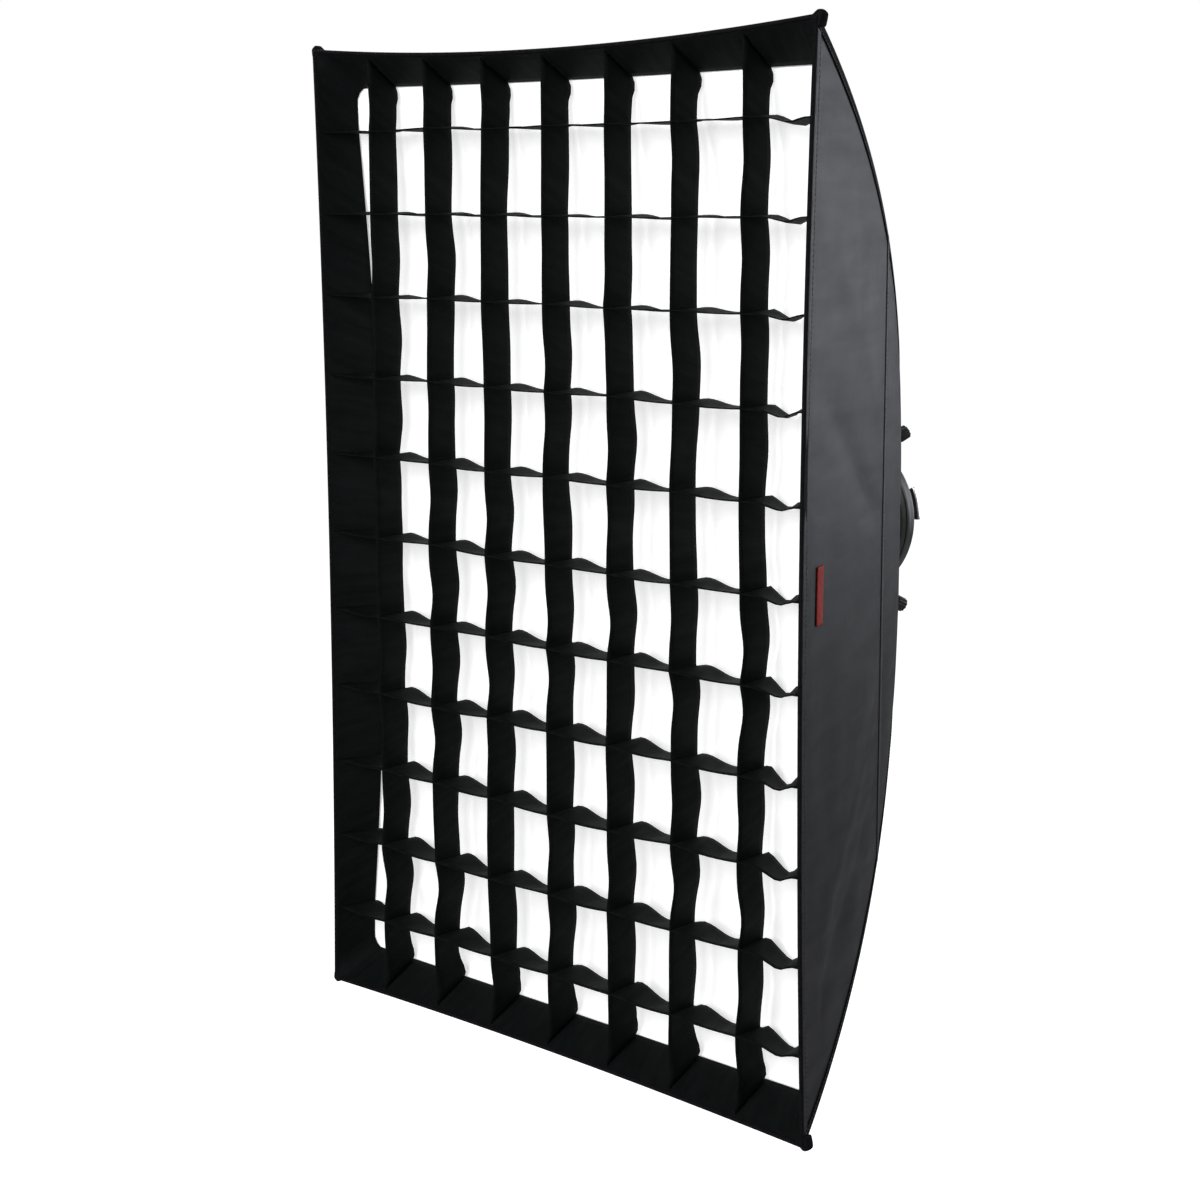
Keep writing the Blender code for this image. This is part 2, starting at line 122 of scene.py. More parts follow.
def add_camera():
    flat = math.cos(CAMERA_ELEVATION)
    away = (math.sin(CAMERA_AZIMUTH) * flat, -math.cos(CAMERA_AZIMUTH) * flat, math.sin(CAMERA_ELEVATION))
    back = Vector(away)
    level = (-back).cross(Vector((0, 0, 1))).normalized()
    up = level.cross(-back)
    turn = Matrix((level, up, back)).transposed() @ Matrix.Rotation(CAMERA_ROLL, 3, "Z")
    data = bpy.data.cameras.new("camera")
    data.lens = CAMERA_LENS
    camera = bpy.data.objects.new("camera", data)
    camera.matrix_world = Matrix.Translation(FRONT_CENTRE + CAMERA_FROM_FRONT) @ turn.to_4x4()
    bpy.context.scene.collection.objects.link(camera)
    bpy.context.scene.camera = camera


add_camera()

# %% [markdown]
# ## Materials
#
# Every finish is a node graph on a Principled shader. Cloth reads its own UV map, which every cloth
# piece gets in metres, so a weave is as fine on a small strap as on a large panel. Metal and plastic
# read Object coordinates, which are also metres here. A value that is the same all over sits on the
# shader's own socket, because linked constants are lost when the model is exported.

# %% Node helpers
UV_NAME = "cloth"
# A wave texture at scale 1 repeats at this distance
WAVE_PERIOD = math.pi / 10


class Finish:
    """A material with short calls to add and join its nodes."""

    def __init__(self, name, colour, roughness, metallic=0.0, **sockets):
        self.material = bpy.data.materials.new(name)
        self.material.use_nodes = True
        self.tree = self.material.node_tree
        self.shader = self.tree.nodes["Principled BSDF"]
        self.relief = None
        self.set(self.shader, {"Base Color": (*colour, 1), "Roughness": roughness, "Metallic": metallic})
        self.set(self.shader, sockets)

    def set(self, node, values):
        for socket, value in values.items():
            node.inputs[socket.replace("_", " ")].default_value = value

    def node(self, kind, vector=None, settings=(), **values):
        made = self.tree.nodes.new("ShaderNode" + kind)
        for key, value in dict(settings).items():
            setattr(made, key, value)
        self.set(made, values)
        if vector is not None:
            self.join(vector, made.inputs["Vector"])
        return made

    def join(self, output, socket):
        self.tree.links.new(output, socket)

    def surface(self, socket, output):
        self.join(output, self.shader.inputs[socket])

    def cloth_place(self):
        return self.node("UVMap", settings={"uv_map": UV_NAME}).outputs["UV"]

    def object_place(self):
        return self.node("TexCoord").outputs["Object"]

    def stretched(self, place, scale):
        return self.node("Mapping", place, Scale=scale).outputs["Vector"]

    def noise(self, place, scale, detail, **values):
        return self.node("TexNoise", place, Scale=scale, Detail=detail, **values).outputs["Fac"]

    def weave(self, place, pitch):
        """Plain weave: two crossed sine waves, one for the warp and one for the weft."""
        threads = []
        for direction in ("X", "Y"):
            settings = {"wave_type": "BANDS", "bands_direction": direction}
            wave = self.node("TexWave", place, settings, Scale=WAVE_PERIOD / pitch)
            threads.append(wave.outputs["Fac"])
        return self.math("MAXIMUM", *threads)

    def math(self, operation, first, second):
        made = self.node("Math", settings={"operation": operation})
        for socket, value in zip(made.inputs, (first, second)):
            if isinstance(value, float):
                socket.default_value = value
            else:
                self.join(value, socket)
        return made.outputs[0]

    def tone(self, factor, low, dark, high, light):
        """Colours the surface dark where the factor is low and light where it is high."""
        ramp = self.node("ValToRGB")
        self.join(factor, ramp.inputs["Fac"])
        for element, position, colour in zip(ramp.color_ramp.elements, (low, high), (dark, light)):
            element.position = position
            element.color = (*colour, 1)
        self.surface("Base Color", ramp.outputs["Color"])

    def span(self, factor, low, high, socket="Roughness"):
        """Lets a socket go from low to high as the factor goes from 0 to 1."""
        made = self.node("MapRange", To_Min=low, To_Max=high)
        self.join(factor, made.inputs["Value"])
        self.surface(socket, made.outputs["Result"])

    def bump(self, height, distance, strength):
        """Adds relief on top of the relief that is there already."""
        made = self.node("Bump", Strength=strength, Distance=distance)
        self.join(height, made.inputs["Height"])
        if self.relief is not None:
            self.join(self.relief, made.inputs["Normal"])
        self.relief = made.outputs["Normal"]
        self.surface("Normal", self.relief)


# %% [markdown]
# ### Black box cloth
#
# The outside is nylon with a thin coating. It isn't flat black: it has a soft grey sheen, faint
# streaks along the warp where the coating is thicker, and a fine weave. A long, stretched noise
# makes the streaks and a short one makes slight blotches; both only move the tone a little.


# %% Black box cloth
def black_cloth(name, dark, light, roughness, pitch=0.0007, streak=(14, 1.6, 1), gloss=0.05):
    finish = Finish(name, dark, roughness, Specular_IOR_Level=gloss)
    place = finish.cloth_place()
    streaks = finish.noise(finish.stretched(place, streak), 4.0, 4.0, Roughness=0.6)
    blotch = finish.noise(place, 60.0, 3.0, Roughness=0.6)
    shares = (finish.math("MULTIPLY", streaks, 0.75), finish.math("MULTIPLY", blotch, 0.25))
    finish.tone(finish.math("ADD", *shares), 0.32, dark, 0.68, light)
    finish.span(streaks, roughness + 0.1, roughness - 0.1)
    finish.bump(blotch, 0.0006, 0.5)
    finish.bump(finish.weave(place, pitch), 0.00008, 0.6)
    return finish.material


BOX_CLOTH = black_cloth("box_nylon", (0.011, 0.0112, 0.0138), (0.022, 0.0225, 0.0275), 0.48, gloss=0.16)
BAND_CLOTH = black_cloth("front_band_nylon", (0.003, 0.0036, 0.0038), (0.007, 0.008, 0.0085), 0.7)
GRID_TONES = (0.0028, 0.0040, 0.0040), (0.0062, 0.0080, 0.0078)
GRID_CLOTH = black_cloth("grid_nylon", *GRID_TONES, 0.7, 0.0009, (30, 5, 1))
TAPE_TONES = (0.004, 0.004, 0.005), (0.010, 0.010, 0.012)
BINDING_TAPE = black_cloth("binding_tape", *TAPE_TONES, 0.75, 0.0012, (60, 20, 1))

# %% [markdown]
# ### Silver lining
#
# Inside, the box is coated silver to throw the light forward. The coating wrinkles with the cloth,
# so it glitters in small soft facets. A Voronoi bump gives those facets.


# %% Silver lining
def silver_lining():
    finish = Finish("silver_lining", (0.62, 0.63, 0.65), 0.38, 0.85)
    place = finish.cloth_place()
    creases = finish.node("TexVoronoi", place, {"feature": "SMOOTH_F1"}, Scale=70.0)
    grain = finish.noise(place, 240.0, 3.0)
    finish.tone(grain, 0.3, (0.50, 0.51, 0.53), 0.7, (0.70, 0.71, 0.73))
    finish.span(grain, 0.30, 0.48)
    finish.bump(creases.outputs["Distance"], 0.0012, 0.6)
    finish.bump(finish.weave(place, 0.0008), 0.00006, 0.5)
    return finish.material


SILVER = silver_lining()

# %% [markdown]
# ### White diffusing cloth
#
# The front cloth is thin white nylon that light passes through. A little light of its own stands for
# the lamp behind it, and keeps it bright even where folds turn away.


# %% White cloth
def white_cloth(name, glow, tint):
    light = {"Emission_Color": (1, 1, 1, 1), "Emission_Strength": glow}
    finish = Finish(name, tint, 0.75, Sheen_Weight=0.3, **light)
    place = finish.cloth_place()
    # Painted fold shade: soft upright bands a little darker than the cloth, as shade in hanging folds.
    painted_fold_shade = finish.noise(finish.stretched(place, (9, 2, 1)), 2.0, 3.0)
    finish.tone(painted_fold_shade, 0.3, tuple(value * 0.93 for value in tint), 0.65, tint)
    finish.span(finish.noise(place, 420.0, 2.0), 0.68, 0.85)
    finish.bump(finish.weave(place, 0.0006), 0.00006, 0.5)
    return finish.material


DIFFUSER_CLOTH = white_cloth("diffuser_nylon", 0.52, (0.84, 0.84, 0.85))
# The inner cloth gets a little painted glow as well, standing for the lamp behind it.
BAFFLE_CLOTH = white_cloth("baffle_nylon", 0.1, (0.82, 0.82, 0.83))


# %% Red tag and thread
def red_tag_cloth():
    finish = Finish("red_woven_tag", (0.24, 0.022, 0.018), 0.8, Specular_IOR_Level=0.08)
    place = finish.cloth_place()
    wear = finish.noise(place, 180.0, 4.0)
    finish.tone(wear, 0.3, (0.30, 0.030, 0.026), 0.7, (0.48, 0.060, 0.050))
    finish.span(wear, 0.5, 0.75)
    finish.bump(finish.weave(place, 0.0008), 0.00015, 0.8)
    return finish.material


def thread_finish():
    finish = Finish("black_thread", (0.03, 0.03, 0.034), 0.55, Sheen_Weight=0.5)
    twist = finish.noise(finish.object_place(), 2500.0, 2.0)
    finish.tone(twist, 0.35, (0.02, 0.02, 0.023), 0.65, (0.06, 0.06, 0.068))
    finish.bump(twist, 0.0001, 0.7)
    return finish.material


RED_TAG = red_tag_cloth()
THREAD = thread_finish()

# %% [markdown]
# ### Metal and plastic of the ring
#
# The ring is cast and powder coated, so it has a fine orange-peel. The bayonet plate is turned, so
# its scratches run in circles about the axis: a wave texture in rings does that. The rods are drawn
# wire with scratches along them, and the knobs are moulded plastic with a fine spark-eroded grain.


# %% Hard finishes
def powder_coat():
    finish = Finish("powder_coat", (0.018, 0.018, 0.019), 0.42, Coat_Weight=0.2, Coat_Roughness=0.3)
    place = finish.object_place()
    wear = finish.noise(place, 35.0, 6.0, Roughness=0.7)
    finish.tone(wear, 0.35, (0.014, 0.014, 0.015), 0.7, (0.035, 0.035, 0.037))
    finish.span(wear, 0.34, 0.55)
    finish.bump(finish.noise(place, 900.0, 3.0, Roughness=0.6), 0.00025, 0.6)
    return finish.material


def turned_metal():
    finish = Finish("turned_plate", (0.60, 0.60, 0.62), 0.3, 1.0)
    place = finish.object_place()
    settings = {"wave_type": "RINGS", "rings_direction": "Y"}
    rings = finish.node("TexWave", place, settings, Scale=520.0, Distortion=1.5, Detail=2.0)
    haze = finish.noise(place, 90.0, 5.0)
    finish.tone(haze, 0.3, (0.50, 0.50, 0.52), 0.7, (0.68, 0.68, 0.70))
    finish.span(haze, 0.22, 0.42)
    finish.bump(rings.outputs["Fac"], 0.00003, 0.7)
    return finish.material


def drawn_steel():
    finish = Finish("spring_steel", (0.45, 0.45, 0.47), 0.3, 1.0)
    scratches = finish.noise(finish.stretched(finish.object_place(), (900, 60, 900)), 1.0, 4.0)
    finish.tone(scratches, 0.3, (0.32, 0.32, 0.34), 0.7, (0.56, 0.56, 0.58))
    finish.span(scratches, 0.2, 0.4)
    finish.bump(scratches, 0.00004, 0.6)
    return finish.material


def moulded_plastic():
    finish = Finish("moulded_black_plastic", (0.014, 0.014, 0.015), 0.45)
    place = finish.object_place()
    scuff = finish.noise(place, 120.0, 5.0)
    finish.tone(scuff, 0.35, (0.011, 0.011, 0.012), 0.7, (0.028, 0.028, 0.030))
    finish.span(scuff, 0.38, 0.6)
    finish.bump(finish.noise(place, 1600.0, 3.0), 0.00012, 0.6)
    return finish.material


POWDER_COAT = powder_coat()
TURNED_METAL = turned_metal()
SPRING_STEEL = drawn_steel()
KNOB_PLASTIC = moulded_plastic()
print("finishes:", len(bpy.data.materials))

# %% [markdown]
# ## How cloth pieces are made here
#
# Each cloth piece is cut flat and then bent into place, as on the real box. So it starts as a flat
# bmesh grid with its UV map in metres, and a small function says where each point of the flat cut
# goes. Solidify then gives the cloth its thickness, and a second finish for its other face.

# %% Cloth helper
CLOTH = 0.0008


def write_uv(bm, cut):
    """Gives each point its place on the flat cut: cut(point) is in metres."""
    layer = bm.loops.layers.uv.get(UV_NAME)
    if layer is None:
        layer = bm.loops.layers.uv.new(UV_NAME)
    for face in bm.faces:
        for loop in face.loops:
            loop[layer].uv = cut(loop.vert.co)


def flat_grid(columns, rows, size):
    """A flat grid over 0..1 with its UV map in metres."""
    bm = bmesh.new()
    bmesh.ops.create_grid(bm, x_segments=columns, y_segments=rows, size=0.5)
    bmesh.ops.translate(bm, vec=(0.5, 0.5, 0), verts=bm.verts)
    write_uv(bm, lambda point: (point.x * size[0], point.y * size[1]))
    return bm


def face_towards(bm, direction):
    """Turns an open sheet round if most of it faces away from the direction."""
    bm.normal_update()
    if sum(face.normal.dot(direction) * face.calc_area() for face in bm.faces) < 0:
        bmesh.ops.reverse_faces(bm, faces=bm.faces)


def finished(name, bm, finishes, body="box", slot="black_cloth"):
    """Makes the mesh an object that rides on a CAD body."""
    mesh = bpy.data.meshes.new(name)
    bm.to_mesh(mesh)
    bm.free()
    for finish in finishes:
        mesh.materials.append(finish)
    mesh.shade_smooth()
    piece = bpy.data.objects.new(name, mesh)
    bpy.context.scene.collection.objects.link(piece)
    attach(piece, body)
    return piece


def thicken(piece, thickness, offset=-1.0, even=False):
    """Gives a sheet its wall. With two finishes, the second is for the other face."""
    wall = piece.modifiers.new("cloth", "SOLIDIFY")
    wall.thickness = thickness
    wall.offset = offset
    wall.use_even_offset = even
    wall.material_offset = len(piece.data.materials) - 1


def smoothed(piece):
    smooth = piece.modifiers.new("smooth", "SUBSURF")
    smooth.levels = smooth.render_levels = 1


def cloth(name, place, size, cells, outwards, finishes, thickness=CLOTH, offset=-1.0, cut=None, **ride):
    """A sheet: place(u, v) bends a flat cut of this size, with u and v from 0 to 1.

    cut(u, v) gives the UV map of a cut that isn't a rectangle.
    """
    bm = flat_grid(*cells, size)
    if cut:
        write_uv(bm, lambda point: cut(point.x, point.y))
    for vert in bm.verts:
        vert.co = place(vert.co.x, vert.co.y)
    face_towards(bm, Vector(outwards))
    piece = finished(name, bm, finishes, **ride)
    thicken(piece, thickness, offset, even=True)
    return piece


def cut_area(piece):
    return sum(polygon.area for polygon in piece.data.polygons)


# %% [markdown]
# ## The surface of the box
#
# A side panel hangs between two rods. Its front edge pulls in between them, because the cloth is
# tight along the rods and loose between. Behind the seam the cloth is cut full, so it bulges out.
# On top of that come soft folds. A long noise, stretched along the panel, gives the slack, and a few
# creases, each a straight line with a rounded profile, give the pulls that run from the rods.

# %% Bow, bulge, slack and creases
FRONT_BOW = {"top": 0.0125, "bottom": 0.005, "left": 0.0075, "right": 0.0085}
REAR_BULGE = 0.008
SLACK = 0.0016
# Creases per side: start and end as (along, depth) in metres, height, width
CREASES = {
    "right": [
        ((-0.10, 0.235), (-0.30, 0.03), 0.0030, 0.016),
        ((-0.20, 0.228), (-0.36, 0.02), -0.0026, 0.014),
        ((0.12, 0.235), (0.28, 0.06), 0.0020, 0.018),
        ((0.02, 0.235), (0.16, 0.04), -0.0016, 0.015),
    ],
    "left": [
        ((-0.12, 0.235), (-0.30, 0.05), 0.0028, 0.016),
        ((0.10, 0.235), (0.31, 0.05), 0.0026, 0.017),
        ((0.22, 0.223), (0.36, 0.03), -0.0022, 0.014),
    ],
    "top": [
        ((-0.06, 0.235), (-0.19, 0.04), 0.0026, 0.016),
        ((0.07, 0.235), (0.20, 0.05), -0.0024, 0.015),
        ((0.00, 0.235), (0.03, 0.02), 0.0018, 0.020),
    ],
    "bottom": [
        ((-0.05, 0.235), (-0.18, 0.05), -0.0022, 0.015),
        ((0.08, 0.235), (0.19, 0.04), 0.0026, 0.016),
    ],
}
SIDE_SEED = {side: 3.7 * number for number, side in enumerate(SIDES)}


def crease_height(along, depth, crease):
    (a0, d0), (a1, d1), height, width = crease
    line = Vector((a1 - a0, d1 - d0))
    from_start = Vector((along - a0, depth - d0))
    share = from_start.dot(line) / line.length_squared
    off = abs(from_start.cross(line)) / line.length
    reach = max(0.0, 1 - (2 * share - 1) ** 4) if 0 < share < 1 else 0.0
    return height * reach * math.exp(-((off / width) ** 2))


def bow(side, depth):
    """How far the middle of the side pulls in at this depth. Negative bulges out."""
    if depth < SEAM_DEPTH:
        return FRONT_BOW[side] * (1 - depth / SEAM_DEPTH)
    share = min(1.0, (depth - SEAM_DEPTH) / (THROAT_DEPTH - SEAM_DEPTH))
    return -REAR_BULGE * math.sin(math.pi * share)


def slack(side, along, depth):
    """Soft unevenness of the cloth, which dies away at the seams."""
    seed = SIDE_SEED[side]
    long_folds = noise.noise(Vector((along * 5, depth * 22, seed)))
    short_folds = noise.noise(Vector((along * 16, depth * 40, seed + 9)))
    height = SLACK * (long_folds + 0.35 * short_folds)
    height += sum(crease_height(along, depth, crease) for crease in CREASES[side])
    from_seam = min(abs(depth - SEAM_DEPTH), depth, THROAT_DEPTH - depth)
    height *= min(1.0, from_seam / 0.03 + 0.08)
    lip_clearance = 0.0003 + 0.12 * max(0.0, depth - 0.042)
    return max(height, -lip_clearance)


def surface_point(side, along, depth, proud=0.0):
    """A point on the outside of the box, along in metres from the middle of the side."""
    out, line = SIDES[side]
    far, half = half_size(side, depth)
    step = 0.002
    slope = (half_size(side, depth - step)[0] - far) / step
    normal = (out + Y_AXIS * slope).normalized()
    loose = 1 - min(1.0, abs(along) / half) ** 2
    height = proud + slack(side, along, depth) * min(1.0, 3 * loose)
    outside = out * (far - bow(side, depth) * loose)
    return outside + line * along + Y_AXIS * (FRONT_Y + depth) + normal * height


def arc_length(start, end):
    """Length along a panel's middle from one depth to another."""
    steps = 20
    depths = [start + (end - start) * number / steps for number in range(steps + 1)]
    places = [Vector((outward_at(depth), depth)) for depth in depths]
    return sum((b - a).length for a, b in zip(places, places[1:]))


# %% [markdown]
# ## Side panels
#
# Eight pieces of black cloth make the box: four between the front edge and the seam, and four
# smaller ones from the seam to the ring. The outer face is black and the inner face silver, so the
# two faces get two finishes from one Solidify.

# %% Side panels
RIDGE_GAP = 0.0004
SEWN_GAP = 0.0002


def make_panel(kind, side, start, end, cells):
    half_front = half_size(side, start)[1]
    slant = arc_length(start, end)

    def place(u, v):
        depth = start + (end - start) * v
        half = half_size(side, depth)[1] - RIDGE_GAP
        return surface_point(side, (2 * u - 1) * half, depth)

    def cut(u, v):
        return (2 * u - 1) * half_size(side, start + (end - start) * v)[1], slant * v

    name = f"{kind}_panel_{side}"
    size = (2 * half_front, slant)
    piece = cloth(name + "_cloth", place, size, cells, SIDES[side][0], [BOX_CLOTH, SILVER], cut=cut)
    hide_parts(name)
    return size


for side in SIDES:
    front_cut = make_panel("front", side, 0.0, SEAM_DEPTH - SEWN_GAP, (96, 40))
    rear_cut = make_panel("rear", side, SEAM_DEPTH + SEWN_GAP, THROAT_DEPTH, (60, 20))
    print(f"{side}: front cut {front_cut[0]:.3f} x {front_cut[1]:.3f} m,", end=" ")
    print(f"rear cut {rear_cut[0]:.3f} x {rear_cut[1]:.3f} m")

# %% [markdown]
# ## Seam tapes, front hem and ridge bindings
#
# Sewn edges are what tell the eye that this is cloth. Three kinds are on the outside: a tape over
# the seam between front and rear panels, a folded hem along the front edge, and a binding that
# wraps each ridge over the rod. Each is a narrow strip laid a little proud of the surface.

# %% Tapes on the surface
TAPE = 0.0006
TAPE_PROUD = 0.0004


def tape_on_side(name, side, depths, cells, finish, lift=TAPE_PROUD):
    """A strip across a panel between two depths, pinned down at its edges."""

    def place(u, v):
        depth = depths[0] + (depths[1] - depths[0]) * v
        half = half_size(side, depth)[1] - RIDGE_GAP
        crown = 4 * v * (1 - v)
        return surface_point(side, (2 * u - 1) * half, depth, TAPE + lift * crown)

    size = (2 * half_size(side, depths[0])[1], arc_length(*depths))
    piece = cloth(name, place, size, cells, SIDES[side][0], [finish], thickness=TAPE)
    max(size[1], 0.01)


SEAM_TAPE = (SEAM_DEPTH - 0.004, SEAM_DEPTH + 0.004)
SEAM_TONES = (0.030, 0.030, 0.034), (0.060, 0.060, 0.066)
SEAM_FINISH = black_cloth("seam_tape", *SEAM_TONES, 0.5, 0.0012, (60, 8, 1), 0.25)
HEM = (0.0, 0.0095)
for side in SIDES:
    tape_on_side(f"seam_tape_{side}", side, SEAM_TAPE, (96, 4), SEAM_FINISH)
    tape_on_side(f"front_hem_{side}", side, HEM, (96, 4), BOX_CLOTH, 0.0003)

BINDING_HALF = 0.0085
BINDING_PROUD = TAPE + 0.0003


def make_ridge_binding(corner):
    """A tape folded over a ridge, with half its width on each of the two panels."""
    x, z = CORNERS[corner]
    level_side, upright_side = corner.split("_")
    start, end = 0.001, THROAT_DEPTH - 0.002

    def place(u, v):
        depth = start + (end - start) * v
        reach = (2 * u - 1) * BINDING_HALF
        if abs(reach) < 0.0006:
            half_width, half_height = (half + BINDING_PROUD * 0.8 for half in half_size("right", depth))
            return Vector((x * half_width, FRONT_Y + depth, z * half_height))
        if reach > 0:
            half = half_size(upright_side, depth)[1]
            return surface_point(upright_side, z * (half - reach), depth, BINDING_PROUD)
        half = half_size(level_side, depth)[1]
        return surface_point(level_side, x * (half + reach), depth, BINDING_PROUD)

    name = f"ridge_binding_{corner}"
    size = (2 * BINDING_HALF, arc_length(start, end))
    piece = cloth(name, place, size, (8, 72), (x, 0.5, z), [BINDING_TAPE], TAPE, slot="webbing")


for corner in CORNERS:
    make_ridge_binding(corner)

# %% [markdown]
# ## Stitches
#
# A stitch is a short thread bead. One small sphere with few faces, stretched along its seam, is
# enough, because there are thousands. A row of them follows a list of points on the surface.


# %% Stitch rows
STITCH_LENGTH, STITCH_PITCH, STITCH_RADIUS = 0.0031, 0.0042, 0.00028


def even_points(path, pitch):
    """Points at an even pitch along a list of points."""
    places = []
    travelled, wanted = 0.0, pitch / 2
    for start, end in zip(path, path[1:]):
        length = (end - start).length
        while length > 0 and wanted <= travelled + length:
            places.append((start.lerp(end, (wanted - travelled) / length), (end - start).normalized()))
            wanted += pitch
        travelled += length
    return places


def add_shape(bm, other):
    """Adds one shape to another's mesh."""
    mesh = bpy.data.meshes.new("shape")
    other.to_mesh(mesh)
    other.free()
    bm.from_mesh(mesh)
    bpy.data.meshes.remove(mesh)


def stitch_row(path):
    bm = bmesh.new()
    shape = Matrix.Diagonal((STITCH_RADIUS, STITCH_RADIUS, STITCH_LENGTH / 2, 1))
    for place, direction in even_points(path, STITCH_PITCH):
        turn = direction.to_track_quat("Z", "Y").to_matrix().to_4x4()
        matrix = Matrix.Translation(place) @ turn @ shape
        bmesh.ops.create_uvsphere(bm, u_segments=5, v_segments=4, radius=1, matrix=matrix)
    return bm


def stitches(name, paths):
    """All the rows of one piece, as one mesh."""
    bm = bmesh.new()
    for path in paths:
        add_shape(bm, stitch_row(path))
    count = len(bm.faces)
    finished(name, bm, [THREAD])
    return count


def row_across(side, depth, proud):
    half = half_size(side, depth)[1] - 0.004
    steps = 60
    places = [half * (2 * number / steps - 1) for number in range(steps + 1)]
    return [surface_point(side, place, depth, proud) for place in places]


def row_along_ridge(side, direction, inside, proud):
    steps = 40
    points = []
    for number in range(steps + 1):
        depth = 0.004 + (THROAT_DEPTH - 0.010) * number / steps
        along = direction * (half_size(side, depth)[1] - inside)
        points.append(surface_point(side, along, depth, proud))
    return points


ROW_DEPTHS = (0.0080, SEAM_TAPE[0] + 0.0016, SEAM_TAPE[1] - 0.0016)
stitch_faces = 0
for side in SIDES:
    rows = [row_across(side, depth, 0.0009) for depth in ROW_DEPTHS]
    rows += [row_along_ridge(side, direction, BINDING_HALF - 0.0018, 0.0010) for direction in (-1, 1)]
    stitch_faces += stitches(f"stitches_{side}", rows)
print("stitch faces:", stitch_faces)

# %% [markdown]
# ## Going round the front
#
# The lip, the white cloth and the edge of the grid all follow the same rectangle at the front, each
# a little further in. So one function walks round that rectangle, with rounded corners, and each
# piece only says how far in it lies. The sides of the lip pull in at mid height, where the cloth
# hangs slack between the corners.

# %% Walk round the front
LIP_DEPTHS = (0.0015, 0.038)
ROUND = {
    "top": Vector((1, 0, 0)),
    "right": Vector((0, 0, -1)),
    "bottom": Vector((-1, 0, 0)),
    "left": Vector((0, 0, 1)),
}
SIDE_SHARE = {"top": 0.17, "right": 0.29, "bottom": 0.17, "left": 0.29}
CORNER_SHARE = 0.02
FRONT_INSET = 0.0025
REAR_INSET = {"top": (0.0345, 0.0015), "bottom": (0.0292, 0.0003)}
REAR_INSET.update(left=(0.0178, 0.0182), right=(0.0178, 0.0182))
ARCH_POWER = 1.8
PANEL_CLEARANCE = 0.0022
FRONT_LOOP = 2 * (WIDTH + HEIGHT)
LOOP_CELLS = 200
LIP_WIDTH = math.hypot(REAR_INSET["top"][0] - FRONT_INSET, LIP_DEPTHS[1] - LIP_DEPTHS[0])


def panel_inset(side, across, depth):
    """How far the side panel has come in from the front rectangle at this depth."""
    return half_size(side, 0)[0] - half_size(side, depth)[0] + bow(side, depth) * (1 - across**2)


def lip_inset(side, across, depth):
    """How far the lip lies inside the front rectangle. The corners are at across = -1 and 1."""
    arch = 1 - min(1.0, abs(across)) ** 2
    front = FRONT_INSET + FRONT_BOW[side] * arch
    rear = REAR_INSET[side][0] + REAR_INSET[side][1] * arch**ARCH_POWER
    share = (depth - LIP_DEPTHS[0]) / (LIP_DEPTHS[1] - LIP_DEPTHS[0])
    clearance = PANEL_CLEARANCE * min(1.0, max(0.0, depth / 0.006))
    clear = panel_inset(side, min(1.0, abs(across)), depth) + clearance
    return max(front + (rear - front) * share, clear)


def round_place(u):
    """The side that the share u of the way round is on, how far along it is, and if it is at its corner."""
    for side, share in SIDE_SHARE.items():
        if u < share:
            return side, u / share, False
        u -= share
        if u < CORNER_SHARE:
            return side, u / CORNER_SHARE, True
        u -= CORNER_SHARE
    return "left", 1.0, True


def round_point(u, depth, inset_of, radius):
    """The point at the share u of the way round, where inset_of(side, across, depth) is the inset."""
    side, share, at_corner = round_place(u)
    order = list(ROUND)
    place = order.index(side)
    before, after = order[place - 1], order[(place + 1) % 4]
    out, travel = SIDES[side][0], ROUND[side]
    halves = (WIDTH / 2, HEIGHT / 2)
    reach, half = halves if side in ("left", "right") else halves[::-1]
    end = half - inset_of(after, 1, depth) - radius
    if at_corner:
        next_start = reach - inset_of(side, 1, depth) - radius
        far = reach - inset_of(side, end / half, depth)
        next_far = half - inset_of(after, next_start / reach, depth)
        angle = share * math.pi / 2
        outwards = next_start + (far - next_start) * math.cos(angle)
        along = end + (next_far - end) * math.sin(angle)
    else:
        start = half - inset_of(before, 1, depth) - radius
        along = share * (start + end) - start
        outwards = reach - inset_of(side, along / half, depth)
    return out * outwards + travel * along + Y_AXIS * (FRONT_Y + depth)


def lip_radius(depth):
    """The corner is sharp at the very front and round from 4 mm in, where it wraps the rod."""
    return 0.003 + 0.0135 * min(1.0, max(0.0, depth / 0.0035))


def closed_strip(name, place, width, rows, towards, finish, thickness, **ride):
    """A strip that runs all the way round the front, with its two ends merged."""
    bm = flat_grid(LOOP_CELLS, rows, (FRONT_LOOP, width))
    for vert in bm.verts:
        vert.co = place(vert.co.x, vert.co.y)
    bmesh.ops.remove_doubles(bm, verts=bm.verts, dist=1e-5)
    bm.normal_update()
    if sum(face.normal.dot(towards(face.calc_center_median())) for face in bm.faces) < 0:
        bmesh.ops.reverse_faces(bm, faces=bm.faces)
    piece = finished(name, bm, [finish], **ride)
    thicken(piece, thickness)
    return piece


def to_axis(place):
    return Vector((-place.x, -0.3, -place.z))


def away_from_box(place):
    return Vector((0, -1, 0))


def loop_ripple(u, seed, height):
    turned = Vector((math.cos(math.tau * u), math.sin(math.tau * u), seed)) * 9
    return height * noise.noise(turned) + 0.4 * height * noise.noise(Vector((0, *turned.xy)) * 4)


# %% The front lip
def lip_place(u, v):
    depth = LIP_DEPTHS[1] * v**1.7
    sag = loop_ripple(u, 1.5, 0.0008) * math.sin(math.pi * v) - 0.0004
    return round_point(u, depth, lambda *where: lip_inset(*where) + sag, lip_radius(depth))


lip = closed_strip("front_lip_cloth", lip_place, LIP_WIDTH, 14, to_axis, BAND_CLOTH, 0.0008)
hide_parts(*(f"front_lip_{side}" for side in SIDES))
print(f"lip {FRONT_LOOP:.3f} x {LIP_WIDTH:.4f} m, area {cut_area(lip):.4f} m2")

